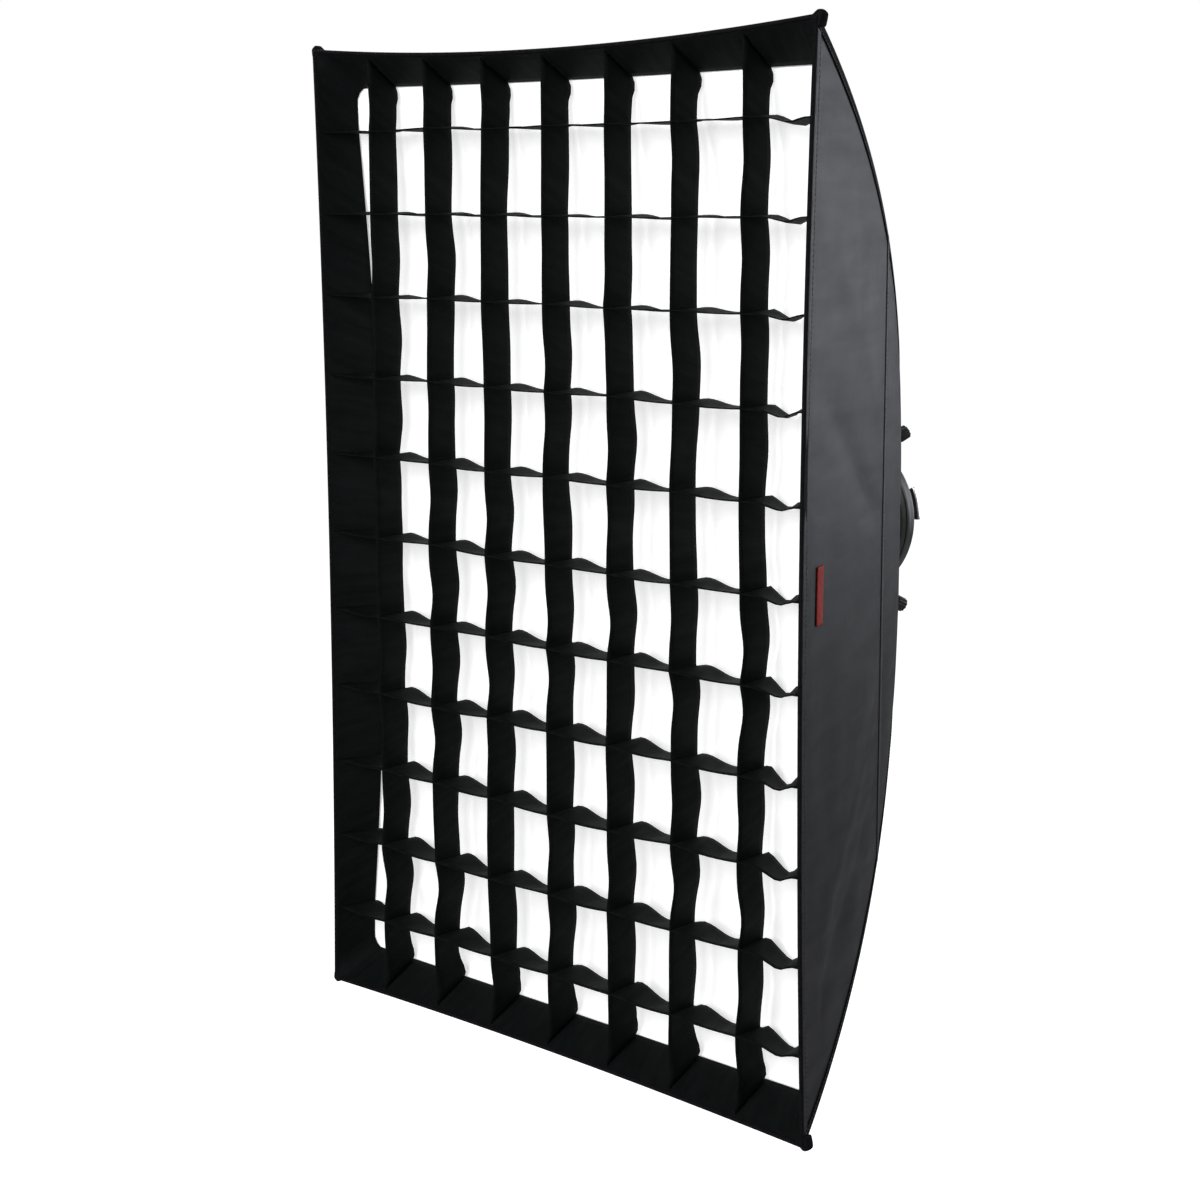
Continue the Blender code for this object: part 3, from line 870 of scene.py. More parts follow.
# %% [markdown]
# ## Rim roll and hook tape
#
# A folded tape covers the raw front edge of the box, where the side panels meet the lip. On the lip
# itself runs a fuzzy loop tape that the grid's edge band sticks to. Both go round in one piece.


# %% Rim roll
RIM_LEG, RIM_NOSE, RIM_OFF, RIM_RADIUS = 0.0075, 0.0011, 0.0008, 0.003
LIP_SIDE = 0.0004
NOSE_FROM, NOSE_TO = 0.42, 0.58


def rim_place(u, v):
    """v from 0 to 1 goes from the outside of the box, over the front edge, to the lip."""
    nose = (v - NOSE_FROM) / 0.16

    def inset_of(side, across, depth):
        if nose < 0:
            return panel_inset(side, across, depth) - RIM_OFF
        if nose > 1:
            return lip_inset(side, across, depth) + LIP_SIDE
        return panel_inset(side, across, 0) - RIM_OFF + (FRONT_INSET + RIM_OFF + LIP_SIDE) * nose

    if nose < 0:
        depth = RIM_LEG * (1 - v / NOSE_FROM)
    elif nose <= 1:
        depth = -RIM_NOSE * math.sin(math.pi * nose)
    else:
        depth = RIM_LEG * (v - NOSE_TO) / NOSE_FROM
    return round_point(u, depth, inset_of, RIM_RADIUS)


RIM_WIDTH = 2 * RIM_LEG + 0.004
rim = closed_strip("front_rim_roll", rim_place, RIM_WIDTH, 14, away_from_box, BINDING_TAPE, 0.0006)


# %% Loop tape on the lip
LOOP_TAPE = 0.016


def loop_tape_place(u, v):
    depth = LOOP_TAPE + LOOP_TAPE * v
    proud = 0.0003 + 0.0003 * math.sin(math.pi * v)
    return round_point(u, depth, lambda *where: lip_inset(*where) + proud, lip_radius(depth))


TAPE_WIDTH = LOOP_TAPE * LIP_WIDTH / (LIP_DEPTHS[1] - LIP_DEPTHS[0])
loop_tape = closed_strip("lip_loop_tape", loop_tape_place, TAPE_WIDTH, 4, to_axis, BINDING_TAPE, 0.0005)

# %% [markdown]
# ## The white front cloth
#
# This cloth is hooked to the back of the lip all round, and it is a little larger than its opening,
# so soft upright folds hang in it. That is what cloth simulation is for: the border is pinned, the
# cloth is given some slack, and gravity does the rest. The grid stands just in front, so the slack
# may only go backwards: afterwards any point that came forward is put back.

# %% The white front cloth
DIFFUSER_DEPTH = 0.0365
DIFFUSER_CELLS = (72, 108)
DIFFUSER_GAP = 0.0015
FOLD_ROOM = 0.016
SETTLE_FRAMES = 28
SETTLE_GRAVITY = (0, 3.0, -9.8)
SETTLE = {
    "quality": 6,
    "mass": 0.12,
    "tension_stiffness": 12,
    "compression_stiffness": 12,
    "shear_stiffness": 5,
    "bending_stiffness": 0.15,
    "air_damping": 4,
    "shrink_min": -0.012,
}


def diffuser_place(u, v):
    across, up = 2 * u - 1, 2 * v - 1
    x_half = WIDTH / 2 - lip_inset("right", up, DIFFUSER_DEPTH) - DIFFUSER_GAP
    top = HEIGHT / 2 - lip_inset("top", across, DIFFUSER_DEPTH) - DIFFUSER_GAP
    bottom = lip_inset("bottom", across, DIFFUSER_DEPTH) + DIFFUSER_GAP - HEIGHT / 2
    return Vector((across * x_half, FRONT_Y + DIFFUSER_DEPTH, bottom + (top - bottom) * v))


def settled_points(piece, pinned):
    """Lets a piece of cloth settle from where it is, held at the vertices of the group."""
    scene = bpy.context.scene
    kept_gravity = scene.gravity.copy()
    scene.gravity = SETTLE_GRAVITY
    scene.frame_start, scene.frame_end = 1, SETTLE_FRAMES
    sim = piece.modifiers.new("settle", "CLOTH")
    for key, value in SETTLE.items():
        setattr(sim.settings, key, value)
    sim.settings.vertex_group_mass = pinned
    sim.collision_settings.use_collision = False
    sim.point_cache.frame_start, sim.point_cache.frame_end = 1, SETTLE_FRAMES
    for frame_number in range(1, SETTLE_FRAMES + 1):
        scene.frame_set(frame_number)
    graph = bpy.context.evaluated_depsgraph_get()
    settled = [vert.co.copy() for vert in piece.evaluated_get(graph).data.vertices]
    piece.modifiers.remove(sim)
    scene.frame_set(1)
    scene.gravity = kept_gravity
    return settled


def make_diffuser():
    bm = flat_grid(*DIFFUSER_CELLS, (WIDTH - 0.05, HEIGHT - 0.07))
    for vert in bm.verts:
        vert.co = diffuser_place(vert.co.x, vert.co.y)
        fold = noise.noise(Vector((vert.co.x * 26, 3.1, vert.co.z * 5)))
        vert.co.y += 0.0012 * abs(fold) if not vert.is_boundary else 0
    face_towards(bm, Vector((0, -1, 0)))
    edge = [vert.index for vert in bm.verts if vert.is_boundary]
    piece = finished("front_diffuser_cloth", bm, [DIFFUSER_CLOTH], "diffuser", "white_cloth")
    piece.vertex_groups.new(name="edge").add(edge, 1.0, "REPLACE")
    front = FRONT_Y + DIFFUSER_DEPTH
    for vert, place in zip(piece.data.vertices, settled_points(piece, "edge")):
        vert.co = (place.x, min(max(place.y, front), front + FOLD_ROOM), place.z)
    piece.vertex_groups.clear()
    thicken(piece, 0.0005)
    smoothed(piece)
    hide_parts("outer_diffuser")
    return piece


diffuser = make_diffuser()
depths = [vert.co.y - FRONT_Y for vert in diffuser.data.vertices]
print("white cloth lies", round(min(depths), 4), "to", round(max(depths), 4), "m behind the front")

# %% [markdown]
# ## The fabric grid
#
# The grid is egg-crate of black cloth strips: seven uprights and eleven rails, slotted into each
# other, sewn into an edge band that grips the lip. Cloth strips can't stand straight. Between two
# crossings each strip bows, and its front edge bows more or less than its rear edge, so it twists.
# The grid hangs from its top, so the strips near the bottom are slacker. Each strip is one sheet
# whose two edges get their own waves from a seeded random source.

# %% Grid edge band
CELL = 0.075
COLUMNS, ROWS = 8, 12
STRIP_DEPTHS = (0.002, 0.0345)
STRIP_WIDTH = STRIP_DEPTHS[1] - STRIP_DEPTHS[0]
BAND_EXTRA = 0.0014
BAND_THICK = 0.0009
BAND_WIDTH = LIP_WIDTH - 0.003
BAND_SLACK = {"left": 0.0085, "right": 0.001, "top": 0.0005, "bottom": 0.0005}
STRAIGHT_SHARE = 0.87


def band_slack(side, across, depth):
    """The band hangs free of the lip at its rear edge, most at the middle of the left side."""
    near_corner = min(1.0, abs(across) / STRAIGHT_SHARE)
    return BAND_SLACK[side] * (1 - near_corner**3) * (max(0.0, depth) / STRIP_DEPTHS[1]) ** 1.5


def band_place(u, v):
    depth = 0.0006 + (STRIP_DEPTHS[1] + 0.0006) * v**1.7
    sag = BAND_EXTRA + max(loop_ripple(u, 4.5, 0.0007) * math.sin(math.pi * v), -0.0003)
    inset_of = lambda *where: lip_inset(*where) + band_slack(*where) + sag
    return round_point(u, depth, inset_of, lip_radius(depth))


GRID = {"body": "grid", "slot": "grid_cloth"}
band = closed_strip("grid_edge_band", band_place, BAND_WIDTH, 14, to_axis, GRID_CLOTH, BAND_THICK, **GRID)
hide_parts(*(f"grid_band_{side}" for side in SIDES))

# %% Waves of the strips
waves = random.Random(41)
STEPS_PER_CELL = 12


def slackness(z):
    """About 0.25 at the top of the box to 1 at the bottom."""
    return 0.62 - 0.8 * z / HEIGHT


def bell(local, middle, width):
    return math.exp(-(((local - middle) / width) ** 2))


def smooth_step(value):
    value = min(max(value, 0.0), 1.0)
    return value * value * (3 - 2 * value)


class Strip:
    """One strip's waves: (front, rear) offsets at each crossing, and in each cell a wave per edge."""

    def __init__(self, cells, jitter, wave_of, ends_pinned=False):
        self.cells = cells
        self.ends_pinned = ends_pinned
        self.waves = [wave_of(number) for number in range(cells)]
        self.nodes = [(0.0, 0.0)]
        for _ in range(cells - 1):
            both = waves.uniform(-jitter, jitter)
            self.nodes.append((both, both + waves.uniform(-0.6, 0.6) * jitter))
        self.nodes.append((0.0, 0.0))

    def offset(self, along, low, high, v):
        """The sideways offset at a place along the strip, which runs from low to high at this depth."""
        number = min(max(int(along / CELL + self.cells / 2), 0), self.cells - 1)
        start = max(low, (number - self.cells / 2) * CELL)
        end = min(high, (number + 1 - self.cells / 2) * CELL)
        local = (along - start) / (end - start)
        ease = smooth_step(local)
        near, far = self.nodes[number], self.nodes[number + 1]
        pinned = smooth_step(local / 0.12) if number else 1.0
        if number < self.cells - 1 or self.ends_pinned:
            pinned *= smooth_step((1 - local) / (0.12 if number < self.cells - 1 else 0.35))
        front, rear = (wave(local) * pinned for wave in self.waves[number])
        front += near[0] + (far[0] - near[0]) * ease
        rear += near[1] + (far[1] - near[1]) * ease
        curl = math.sin(math.pi * v) * (rear - front) * 0.2
        return front + (rear - front) * v + curl


def upright_waves(number):
    """Uprights lean to one side in each cell, and near the top their rear edge kicks out."""
    loose = slackness(CELL * (number + 0.5) - HEIGHT / 2)
    lean = waves.uniform(-0.0012, 0.0068) * loose
    peak = waves.uniform(0.3, 0.7)
    twist = waves.uniform(-0.0028, 0.0038) * loose
    kick = 0.0042 if number == ROWS - 1 else 0.0
    flare = 0.0060 if number == 0 else 0.0

    def front(local):
        return lean * bell(local, peak, 0.26)

    def rear(local):
        wave = lean * bell(local, peak + 0.08, 0.28) + twist * bell(local, 0.5, 0.3)
        wave += kick * bell(local, 0.78, 0.16)
        return wave + flare * bell(local, 0.16, 0.2) - 0.5 * flare * bell(local, 0.85, 0.2)

    return front, rear


def rail_waves(number, z):
    """Rails rise right behind their left crossing and thin out after it. The last cell hangs in a U."""
    loose = slackness(z)
    rise = waves.uniform(0.0030, 0.0056) * loose
    dip = waves.uniform(0.0030, 0.0062) * loose
    sag = waves.uniform(0.0002, 0.0024) * loose
    peak = waves.uniform(0.14, 0.22)
    if number == COLUMNS - 1:
        hang = waves.uniform(0.0048, 0.0070) * (0.45 + 0.55 * loose)
        return (
            lambda local: -hang * bell(local, 0.70, 0.24),
            lambda local: rise * bell(local, 0.15, 0.14) - (hang + 1.2 * dip) * bell(local, 0.66, 0.27),
        )
    return (
        lambda local: -sag * math.sin(math.pi * local),
        lambda local: rise * bell(local, peak, 0.20) - dip * bell(local, 0.60, 0.24),
    )


# %% Grid strips
def grid_strip(name, ends_at, place_at, normal, cells_along, size):
    """A strip on edge. ends_at(depth) gives its two ends and place_at its points."""

    def place(u, v):
        depth = STRIP_DEPTHS[0] + STRIP_WIDTH * v
        low, high = ends_at(depth)
        return place_at(low + (high - low) * u, low, high, v, depth)

    cells = (cells_along * STEPS_PER_CELL, 6)
    piece = cloth(f"{name}_cloth", place, size, cells, normal, [GRID_CLOTH], 0.0009, 0.0, **GRID)
    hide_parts(name)


def band_at(side, across, depth):
    """How far from the middle the edge band's inner face is, on this side."""
    reach = WIDTH / 2 if side in ("left", "right") else HEIGHT / 2
    return reach - lip_inset(side, across, depth) - band_slack(side, across, depth) - BAND_EXTRA - 0.0004


def make_upright(number):
    x = CELL * (number - COLUMNS / 2)
    strip = Strip(ROWS, 0.0019, upright_waves)

    def ends_at(depth):
        return -band_at("bottom", 2 * x / WIDTH, depth), band_at("top", 2 * x / WIDTH, depth)

    def place_at(along, low, high, v, depth):
        return Vector((x + strip.offset(along, low, high, v), FRONT_Y + depth, along))

    size = (HEIGHT - 0.03, STRIP_WIDTH)
    grid_strip(f"grid_upright_{number}", ends_at, place_at, (1, 0, 0), ROWS, size)


def make_rail(number):
    z = CELL * (number - ROWS / 2)
    strip = Strip(COLUMNS, 0.0014, lambda cell: rail_waves(cell, z), ends_pinned=True)

    def ends_at(depth):
        return -band_at("left", 2 * z / HEIGHT, depth), band_at("right", 2 * z / HEIGHT, depth)

    def place_at(along, low, high, v, depth):
        return Vector((along, FRONT_Y + depth, z + strip.offset(along, low, high, v)))

    size = (WIDTH - 0.02, STRIP_WIDTH)
    grid_strip(f"grid_rail_{number:02d}", ends_at, place_at, (0, 0, 1), COLUMNS, size)


for number in range(1, COLUMNS):
    make_upright(number)
for number in range(1, ROWS):
    make_rail(number)
print("strips:", COLUMNS - 1, "uprights and", ROWS - 1, "rails,", round(STRIP_WIDTH, 4), "m deep")

# %% [markdown]
# ## Corner pockets and the red tag
#
# The tip of each rod sits in a small sewn pocket at the front corner, which sticks out like an ear.
# A cube is enough to start: it is tapered, cut finer and smoothed into a stuffed little pouch. The
# tag is a short piece of woven tape, sewn flat on the right side near the front edge.


# %% Corner pockets
POCKET_SIZE = (0.0150, 0.0125, 0.0125)
POCKET_FROM_AXIS = 0.5385


def make_pocket(corner):
    out = corner_direction(corner)
    bm = bmesh.new()
    bmesh.ops.create_cube(bm, size=1)
    bmesh.ops.subdivide_edges(bm, edges=bm.edges[:], cuts=4, use_grid_fill=True)
    for vert in bm.verts:
        vert.co.x *= 1 - 0.55 * (vert.co.z + 0.5)
        vert.co.y *= 1 - 0.30 * (vert.co.z + 0.5)
    even = {"factor": 0.5, "use_axis_x": True, "use_axis_y": True, "use_axis_z": True}
    for _ in range(5):
        bmesh.ops.smooth_vert(bm, verts=bm.verts, **even)
    bmesh.ops.scale(bm, vec=POCKET_SIZE, verts=bm.verts)
    write_uv(bm, lambda point: (point.x + point.y, point.z))
    turn = Matrix.Rotation(math.atan2(out.x, out.z), 4, "Y")
    place = out * POCKET_FROM_AXIS + Y_AXIS * (FRONT_Y + POCKET_SIZE[1] / 2 - 0.001)
    bmesh.ops.transform(bm, matrix=Matrix.Translation(place) @ turn, verts=bm.verts)
    piece = finished(f"corner_pocket_{corner}_sewn", bm, [BINDING_TAPE], slot="webbing")
    smoothed(piece)
    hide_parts(f"corner_pocket_{corner}")


for corner in CORNERS:
    make_pocket(corner)

# %% Red tag
TAG_DEPTHS = (0.0310, 0.0470)
TAG_HALF = 0.024


def tag_place(u, v):
    depth = TAG_DEPTHS[0] + (TAG_DEPTHS[1] - TAG_DEPTHS[0]) * u
    lift = 0.0012 + 0.0006 * math.sin(math.pi * u) * (0.6 + 0.4 * math.sin(9 * v))
    return surface_point("right", (2 * v - 1) * TAG_HALF, depth, lift)


tag_cut = (TAG_DEPTHS[1] - TAG_DEPTHS[0], 2 * TAG_HALF)
tag = cloth("red_tag", tag_place, tag_cut, (8, 28), (1, 0, 0), [RED_TAG], slot="red_cloth")
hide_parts("label")

# %% [markdown]
# ## Inner baffle, rods and flaps
#
# A second, smaller white cloth hangs in the middle of the box on four straps. It spreads the light
# before it reaches the front. The rods keep their CAD shape, because a bent round rod is exact there.


# %% Baffle, straps and rods
BAFFLE_DEPTH = 0.170
BAFFLE_Y = FRONT_Y + BAFFLE_DEPTH
BAFFLE_SIZE = (0.370, 0.570)
TO_FRONT = (0, -1, 0)


def baffle_place(u, v):
    x, z = (u - 0.5) * BAFFLE_SIZE[0], (v - 0.5) * BAFFLE_SIZE[1]
    pull = abs(0.006 * (1 - (2 * u - 1) ** 2) * (2 * v - 1))
    sag = 0.010 * math.sin(math.pi * u) * math.sin(math.pi * v)
    folds = 0.003 * noise.noise(Vector((x * 14, 8.2, z * 4)))
    narrowed = x * (1 - 0.02 * math.sin(math.pi * v))
    return Vector((narrowed, BAFFLE_Y + sag + folds, z - pull * (1 if z > 0 else -1)))


white = {"slot": "white_cloth", "thickness": 0.0006, "offset": 0.0}
baffle = cloth("inner_baffle_cloth", baffle_place, BAFFLE_SIZE, (36, 54), TO_FRONT, [BAFFLE_CLOTH], **white)
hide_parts("inner_baffle")

STRAP_WIDTH = 0.010
for corner, (x, z) in CORNERS.items():
    baffle_corner = Vector((x * BAFFLE_SIZE[0] / 2, BAFFLE_Y, z * BAFFLE_SIZE[1] / 2))
    strap_start = baffle_corner * 0.99 + Y_AXIS * BAFFLE_Y * 0.01
    strap_end = corner_direction(corner) * (outward_at(BAFFLE_DEPTH, 0.006) - 0.003) + Y_AXIS * BAFFLE_Y
    strap_line = strap_end - strap_start
    strap_side = strap_line.normalized().cross(Y_AXIS) * STRAP_WIDTH

    def strap_place(u, v, start=strap_start, line=strap_line, side=strap_side):
        return start + line * v + side * (u - 0.5) + Y_AXIS * (0.002 * math.sin(math.pi * v))

    name = f"baffle_strap_{corner}"
    strap_cut = (STRAP_WIDTH, strap_line.length)
    webbing = {"slot": "webbing", "thickness": 0.001}
    strap = cloth(name + "_web", strap_place, strap_cut, (4, 16), TO_FRONT, [BINDING_TAPE], **webbing)
    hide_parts(name)


# %% Throat flaps
def make_flap(side):
    up = SIDES[side][0].z
    outer_z, inner_z = HEIGHT / WIDTH * THROAT_HALF_WIDTH - 0.002, 0.0805
    outer_half, inner_half = 0.063, 0.034
    outer_y, inner_y = FRONT_Y + THROAT_DEPTH - 0.004, -0.0365

    def place(u, v):
        half = outer_half + (inner_half - outer_half) * v
        height = outer_z + (inner_z - outer_z) * v
        sag = 0.0025 * math.sin(math.pi * v) * math.sin(math.pi * u)
        return Vector(((2 * u - 1) * half, outer_y + (inner_y - outer_y) * v + sag, up * height))

    size = (2 * outer_half, math.hypot(outer_z - inner_z, outer_y - inner_y))
    piece = cloth(f"rear_flap_{side}_cloth", place, size, (20, 10), (0, 1, up * 0.3), [BOX_CLOTH])
    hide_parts(f"rear_flap_{side}")


for side in ("top", "bottom"):
    make_flap(side)

# %% [markdown]
# ## The ring, its plate and its knobs
#
# A cast ring holds the four rods in bosses, each clamped by a thumb screw. Inside it turns the
# bayonet plate that hooks onto the light. All of these are turned shapes, so a profile is drawn once
# and spun about the Y axis. A small bevel on every sharp edge catches the light as real metal does.


# %% Turning and small shapes
def bevelled(bm, edges, offset, segments):
    bmesh.ops.bevel(
        bm, geom=edges, offset=offset, offset_type="OFFSET", segments=segments, profile=0.5, affect="EDGES",
        material=-1,
    )


def soften(bm, offset, angle=0.6):
    bm.normal_update()
    sharp = [edge for edge in bm.edges if len(edge.link_faces) == 2 and edge.calc_face_angle(0) > angle]
    bevelled(bm, sharp, offset, 2)


def spin_about_y(bm, geom, angle, steps, use_merge=False):
    bmesh.ops.spin(
        bm, geom=geom, cent=(0, 0, 0), axis=(0, 1, 0), angle=angle, steps=steps, use_merge=use_merge
    )


def spun(profile, edge=0.0006):
    """A ring turned about the Y axis from a closed outline of (radius, y) points."""
    bm = bmesh.new()
    verts = [bm.verts.new((radius, y, 0)) for radius, y in profile]
    edges = [bm.edges.new(pair) for pair in zip(verts, verts[1:] + verts[:1])]
    spin_about_y(bm, verts + edges, math.tau, 96, use_merge=True)
    bmesh.ops.remove_doubles(bm, verts=bm.verts, dist=1e-6)
    bmesh.ops.recalc_face_normals(bm, faces=bm.faces)
    soften(bm, edge)
    return bm


def placed_along(direction, place):
    """The matrix that stands a shape at a place with its Z axis in a direction."""
    turn = Vector((0, 0, 1)).rotation_difference(direction).to_matrix().to_4x4()
    return Matrix.Translation(place) @ turn


def rod_shape(start, end, radius, segments=32, edge=0.0005, finish=0):
    """A cylinder between two points with softened rims."""
    bm = bmesh.new()
    line = end - start
    size = {"radius1": radius, "radius2": radius, "depth": line.length, "segments": segments}
    matrix = placed_along(line.normalized(), (start + end) / 2)
    bmesh.ops.create_cone(bm, cap_ends=True, matrix=matrix, **size)
    soften(bm, edge, angle=1.2)
    for face in bm.faces:
        face.material_index = finish
    return bm


def add_screw_heads(bm, count, phase, from_axis, start, end, radius):
    """Small round heads in a circle, between two distances in front of the plate's rear face."""
    for number in range(count):
        place = Matrix.Rotation(math.tau * (number + phase) / count, 3, "Y") @ Vector((from_axis, 0, 0))
        add_shape(bm, rod_shape(place - Y_AXIS * start, place - Y_AXIS * end, radius, 16, 0.0003))


def hard_piece(name, bm, finishes, body, slot, node):
    piece = finished(name, bm, finishes, body, slot)
    piece.data.set_sharp_from_angle(angle=math.radians(38))
    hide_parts(node)


# %% Cast ring with its bosses
ROD_INSIDE = 0.006
BOSS_FROM, BOSS_TO, BOSS_MIDDLE, BOSS_RADIUS = 0.073, 0.102, 0.093, 0.008


def depth_at(outward, inside):
    return RIDGE_CENTRE.y + math.sqrt((RIDGE_RADIUS - inside) ** 2 - (outward - RIDGE_CENTRE.x) ** 2)


def socket_frame(corner):
    """A boss's centre, the direction its rod leaves in, and the direction of its screw."""
    out = corner_direction(corner)
    radius = RIDGE_RADIUS - ROD_INSIDE
    depth = depth_at(BOSS_MIDDLE, ROD_INSIDE)
    back, side = (BOSS_MIDDLE - RIDGE_CENTRE.x) / radius, (depth - RIDGE_CENTRE.y) / radius
    centre = out * BOSS_MIDDLE + Y_AXIS * (FRONT_Y + depth)
    return centre, out * side - Y_AXIS * back, out * back + Y_AXIS * side, side


ring = spun([(0.072, -0.010), (0.076, -0.014), (0.076, -0.034), (0.0585, -0.034), (0.0585, -0.010)])
raised_band = [(0.0768, -0.0205), (0.0768, -0.0265), (0.0752, -0.0265), (0.0752, -0.0205)]
add_shape(ring, spun(raised_band, edge=0.0003))
for corner in CORNERS:
    centre, outwards, screw_way, side = socket_frame(corner)
    low = centre + outwards * (BOSS_FROM - BOSS_MIDDLE) / side
    high = centre + outwards * (BOSS_TO - BOSS_MIDDLE) / side
    add_shape(ring, rod_shape(low, high, BOSS_RADIUS, edge=0.0009))
    nut_end = centre + screw_way * (BOSS_RADIUS + 0.0004)
    add_shape(ring, rod_shape(centre + screw_way * 0.004, nut_end, 0.0048, 24, 0.0003))
add_screw_heads(ring, 8, 0.5, 0.0655, 0.012, 0.0094, 0.0021)
hard_piece("ring_casting", ring, [POWDER_COAT], "box", "cast_metal", "speedring_body")

# %% Bayonet plate and retaining ring
LUG_INNER, LUG_OUTER, LUG_THICK, LUG_ANGLE = 0.063, 0.0725, 0.004, math.radians(26)
plate_outline = [(0.0645, 0), (0.0645, -0.0095), (0.058, -0.0095)]
plate_outline += [(0.058, -0.0345), (0.0485, -0.0345), (0.0485, 0)]
plate = spun(plate_outline, edge=0.0007)
add_shape(plate, spun([(0.0600, 0.0), (0.0600, -0.0012), (0.0560, -0.0012), (0.0560, 0.0)], edge=0.0002))
LUG_OUTLINE = ((LUG_INNER, -LUG_THICK), (LUG_OUTER, -LUG_THICK), (LUG_OUTER, 0), (LUG_INNER, 0))
for number in range(3):
    bm = bmesh.new()
    section = bm.faces.new([bm.verts.new((radius, y, 0)) for radius, y in LUG_OUTLINE])
    spin_about_y(bm, [section, *section.edges, *section.verts], -LUG_ANGLE, 14)
    bmesh.ops.rotate(bm, matrix=Matrix.Rotation(-math.tau * number / 3, 3, "Y"), verts=bm.verts)
    bmesh.ops.recalc_face_normals(bm, faces=bm.faces)
    soften(bm, 0.0006)
    add_shape(plate, bm)
hard_piece("turned_bayonet_plate", plate, [TURNED_METAL], "mount_plate", "plate_metal", "bayonet_plate")

retainer = spun([(0.068, -0.0348), (0.068, -0.038), (0.0485, -0.038), (0.0485, -0.0348)], edge=0.0005)
add_screw_heads(retainer, 6, 0, 0.0533, 0.0370, 0.0387, 0.0020)
hard_piece("turned_retaining_ring", retainer, [TURNED_METAL], "mount_plate", "plate_metal", "retaining_ring")


# %% Thumb screws
KNOB_RADIUS, KNOB_HEAD, KNOB_FLUTES = 0.007, 0.011, 10


def fluted_head(start, direction):
    """A round head with grip flutes and a dished end."""
    bm = bmesh.new()
    made = bmesh.ops.create_circle(bm, cap_ends=True, radius=KNOB_RADIUS, segments=KNOB_FLUTES * 6)
    for vert in made["verts"]:
        groove = 0.5 - 0.5 * math.cos(KNOB_FLUTES * math.atan2(vert.co.y, vert.co.x))
        vert.co.xy *= 1 - 0.13 * groove**2
    grown = bmesh.ops.extrude_face_region(bm, geom=bm.faces[:])
    top = [item for item in grown["geom"] if isinstance(item, bmesh.types.BMVert)]
    bmesh.ops.translate(bm, vec=(0, 0, KNOB_HEAD), verts=top)
    bmesh.ops.recalc_face_normals(bm, faces=bm.faces)
    caps = [face for face in bm.faces if len(face.verts) > 4]
    rims = list({edge for face in caps for edge in face.edges})
    bevelled(bm, rims, 0.0010, 3)
    caps = [face for face in bm.faces if len(face.verts) > 4]
    end_cap = max(caps, key=lambda face: face.calc_center_median().z)
    bmesh.ops.inset_region(bm, faces=[end_cap], thickness=0.0010, depth=0)
    bmesh.ops.inset_region(bm, faces=[end_cap], thickness=0.0008, depth=-0.0008)
    bmesh.ops.transform(bm, matrix=placed_along(direction, start), verts=bm.verts)
    return bm


def thumb_screw(name, tip, direction, screw_length, body):
    collar = tip + direction * screw_length
    head = collar + direction * 0.0015
    knob = fluted_head(head, direction)
    add_shape(knob, rod_shape(collar, head + direction * 0.001, 0.004, 24, 0.0003))
    add_shape(knob, rod_shape(tip, collar + direction * 0.0005, 0.0022, 16, 0.0003, finish=1))
    hard_piece(f"{name}_fluted", knob, [KNOB_PLASTIC, SPRING_STEEL], body, "knob_plastic", name)


for corner in CORNERS:
    centre, _, screw_way, _ = socket_frame(corner)
    tip = centre + screw_way * 0.0031
    thumb_screw(f"rod_lock_knob_{corner}", tip, screw_way, 0.0055, f"rod_lock_{corner}")
thumb_screw("rotation_lock_knob", Vector((0, -0.022, -0.0592)), Vector((0, 0, -1)), 0.0174, "rotation_lock")
for corner in CORNERS:
    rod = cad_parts[f"rod_{corner}"]
    rod.data.materials.clear()
    rod.data.materials.append(SPRING_STEEL)
    rod.data.shade_smooth()

# %% [markdown]
# ## Floor, background and light
#
# The object hangs well above a plain pale floor, as on a stand. The floor and the world look white,
# but they shed much less light than that, so black cloth stays black. Four large soft lamps give the
# light: one in front, one at each side, and a dim one low behind that puts a sheen on the side panel.

# %% Floor
FLOOR_Z = -0.85
FLOOR_GLOW = 1.0
FLOOR_SHED = 0.03


def floor_finish():
    finish = Finish("pale_floor", (0.3, 0.3, 0.3), 0.9, Specular_IOR_Level=0.0, Emission_Color=(1, 1, 1, 1))
    seen = finish.node("LightPath").outputs["Is Camera Ray"]
    finish.span(seen, FLOOR_SHED, FLOOR_GLOW, "Emission Strength")
    tone = finish.noise(finish.object_place(), 3.0, 2.0)
    finish.tone(tone, 0.2, (0.29, 0.29, 0.29), 0.8, (0.31, 0.31, 0.31))
    return finish.material


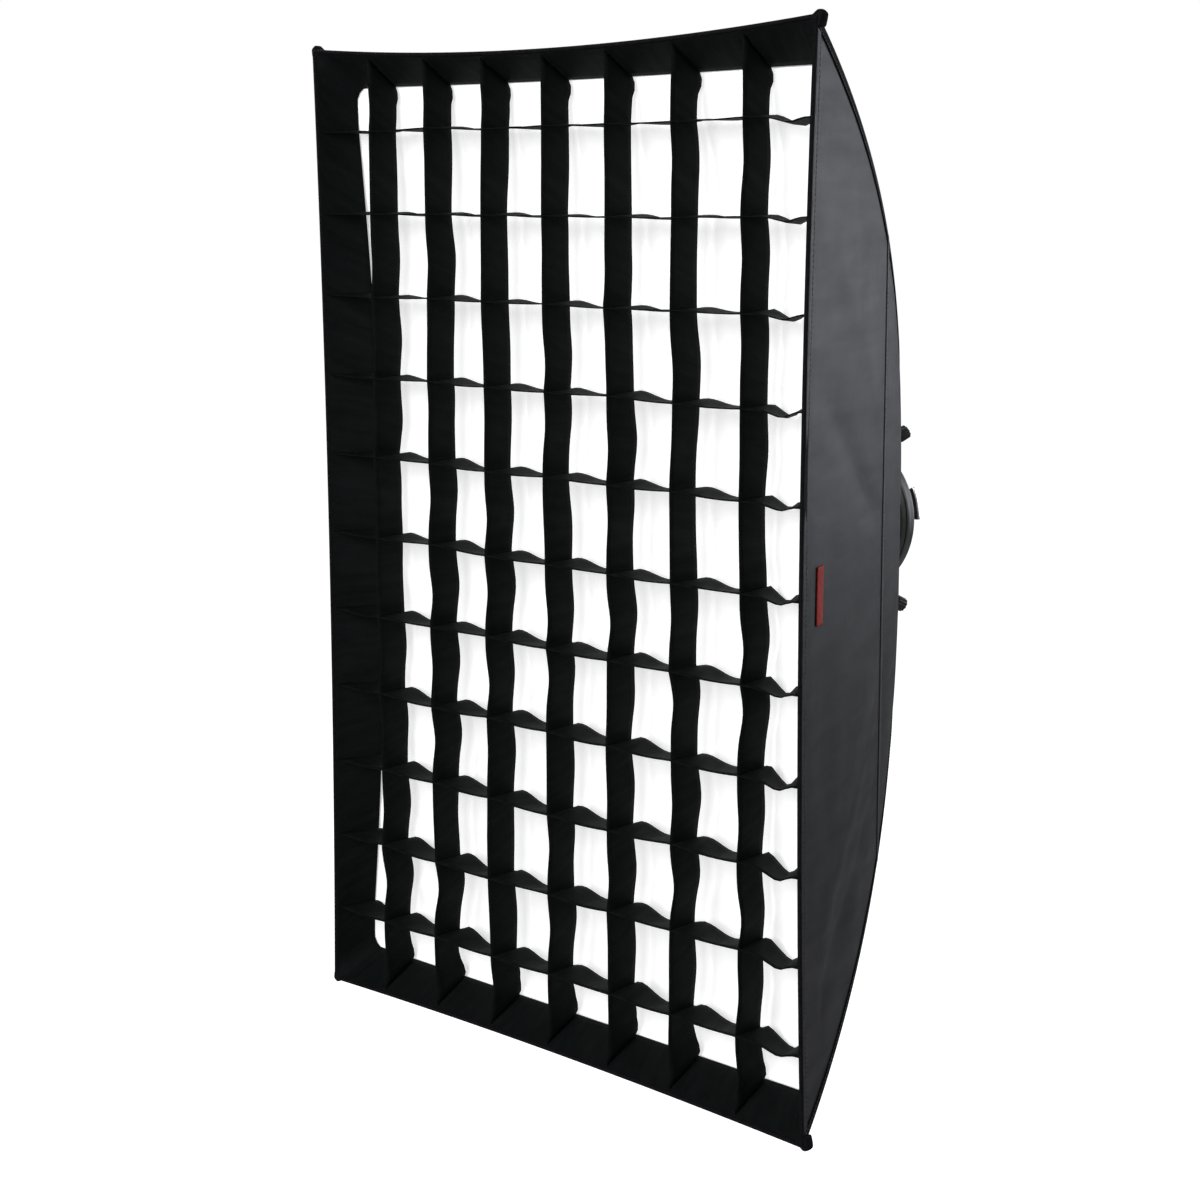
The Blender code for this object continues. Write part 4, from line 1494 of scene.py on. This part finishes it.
def make_floor():
    bm = bmesh.new()
    bmesh.ops.create_grid(bm, x_segments=8, y_segments=8, size=40)
    bmesh.ops.translate(bm, vec=(0, 0, FLOOR_Z), verts=bm.verts)
    mesh = bpy.data.meshes.new("floor")
    bm.to_mesh(mesh)
    bm.free()
    mesh.materials.append(floor_finish())
    floor = bpy.data.objects.new("floor", mesh)
    bpy.context.scene.collection.objects.link(floor)


# %% World and lights
def pale_world(seen, shed):
    """White where it is seen, and dimmer as a light, so that black cloth stays black."""
    world = bpy.data.worlds.new("pale_studio")
    world.use_nodes = True
    tree = world.node_tree
    tree.nodes.clear()
    path = tree.nodes.new("ShaderNodeLightPath")
    mix = tree.nodes.new("ShaderNodeMixShader")
    output = tree.nodes.new("ShaderNodeOutputWorld")
    for number, strength in ((1, shed), (2, seen)):
        background = tree.nodes.new("ShaderNodeBackground")
        background.inputs["Color"].default_value = (1, 1, 1, 1)
        background.inputs["Strength"].default_value = strength
        tree.links.new(background.outputs["Background"], mix.inputs[number])
    tree.links.new(path.outputs["Is Camera Ray"], mix.inputs["Fac"])
    tree.links.new(mix.outputs["Shader"], output.inputs["Surface"])
    bpy.context.scene.world = world


def soft_light(name, place, target, size, power, colour=(1, 1, 1)):
    data = bpy.data.lights.new(name, "AREA")
    data.shape = "RECTANGLE"
    data.size, data.size_y = size
    data.energy = power
    data.color = colour
    light = bpy.data.objects.new(name, data)
    light.location = place
    light.rotation_euler = (Vector(target) - Vector(place)).to_track_quat("-Z", "Y").to_euler()
    light.visible_camera = False
    bpy.context.scene.collection.objects.link(light)


make_floor()
pale_world(1.0, 0.15)
bpy.context.scene.view_settings.view_transform = "Standard"
soft_light("front_light", (0.2, -2.8, 0.8), (0, -0.4, 0), (1.8, 1.8), 55)
soft_light("right_light", (2.4, 1.4, 2.4), (0.3, -0.3, 0.3), (1.2, 1.2), 38)
soft_light("left_light", (-2.4, 1.0, 1.6), (-0.3, -0.2, 0), (1.4, 1.4), 60)
soft_light("sheen_light", (0.55, 1.9, 0.25), (0.3, -0.3, 0.2), (1.0, 0.9), 13, (0.90, 0.93, 1.0))
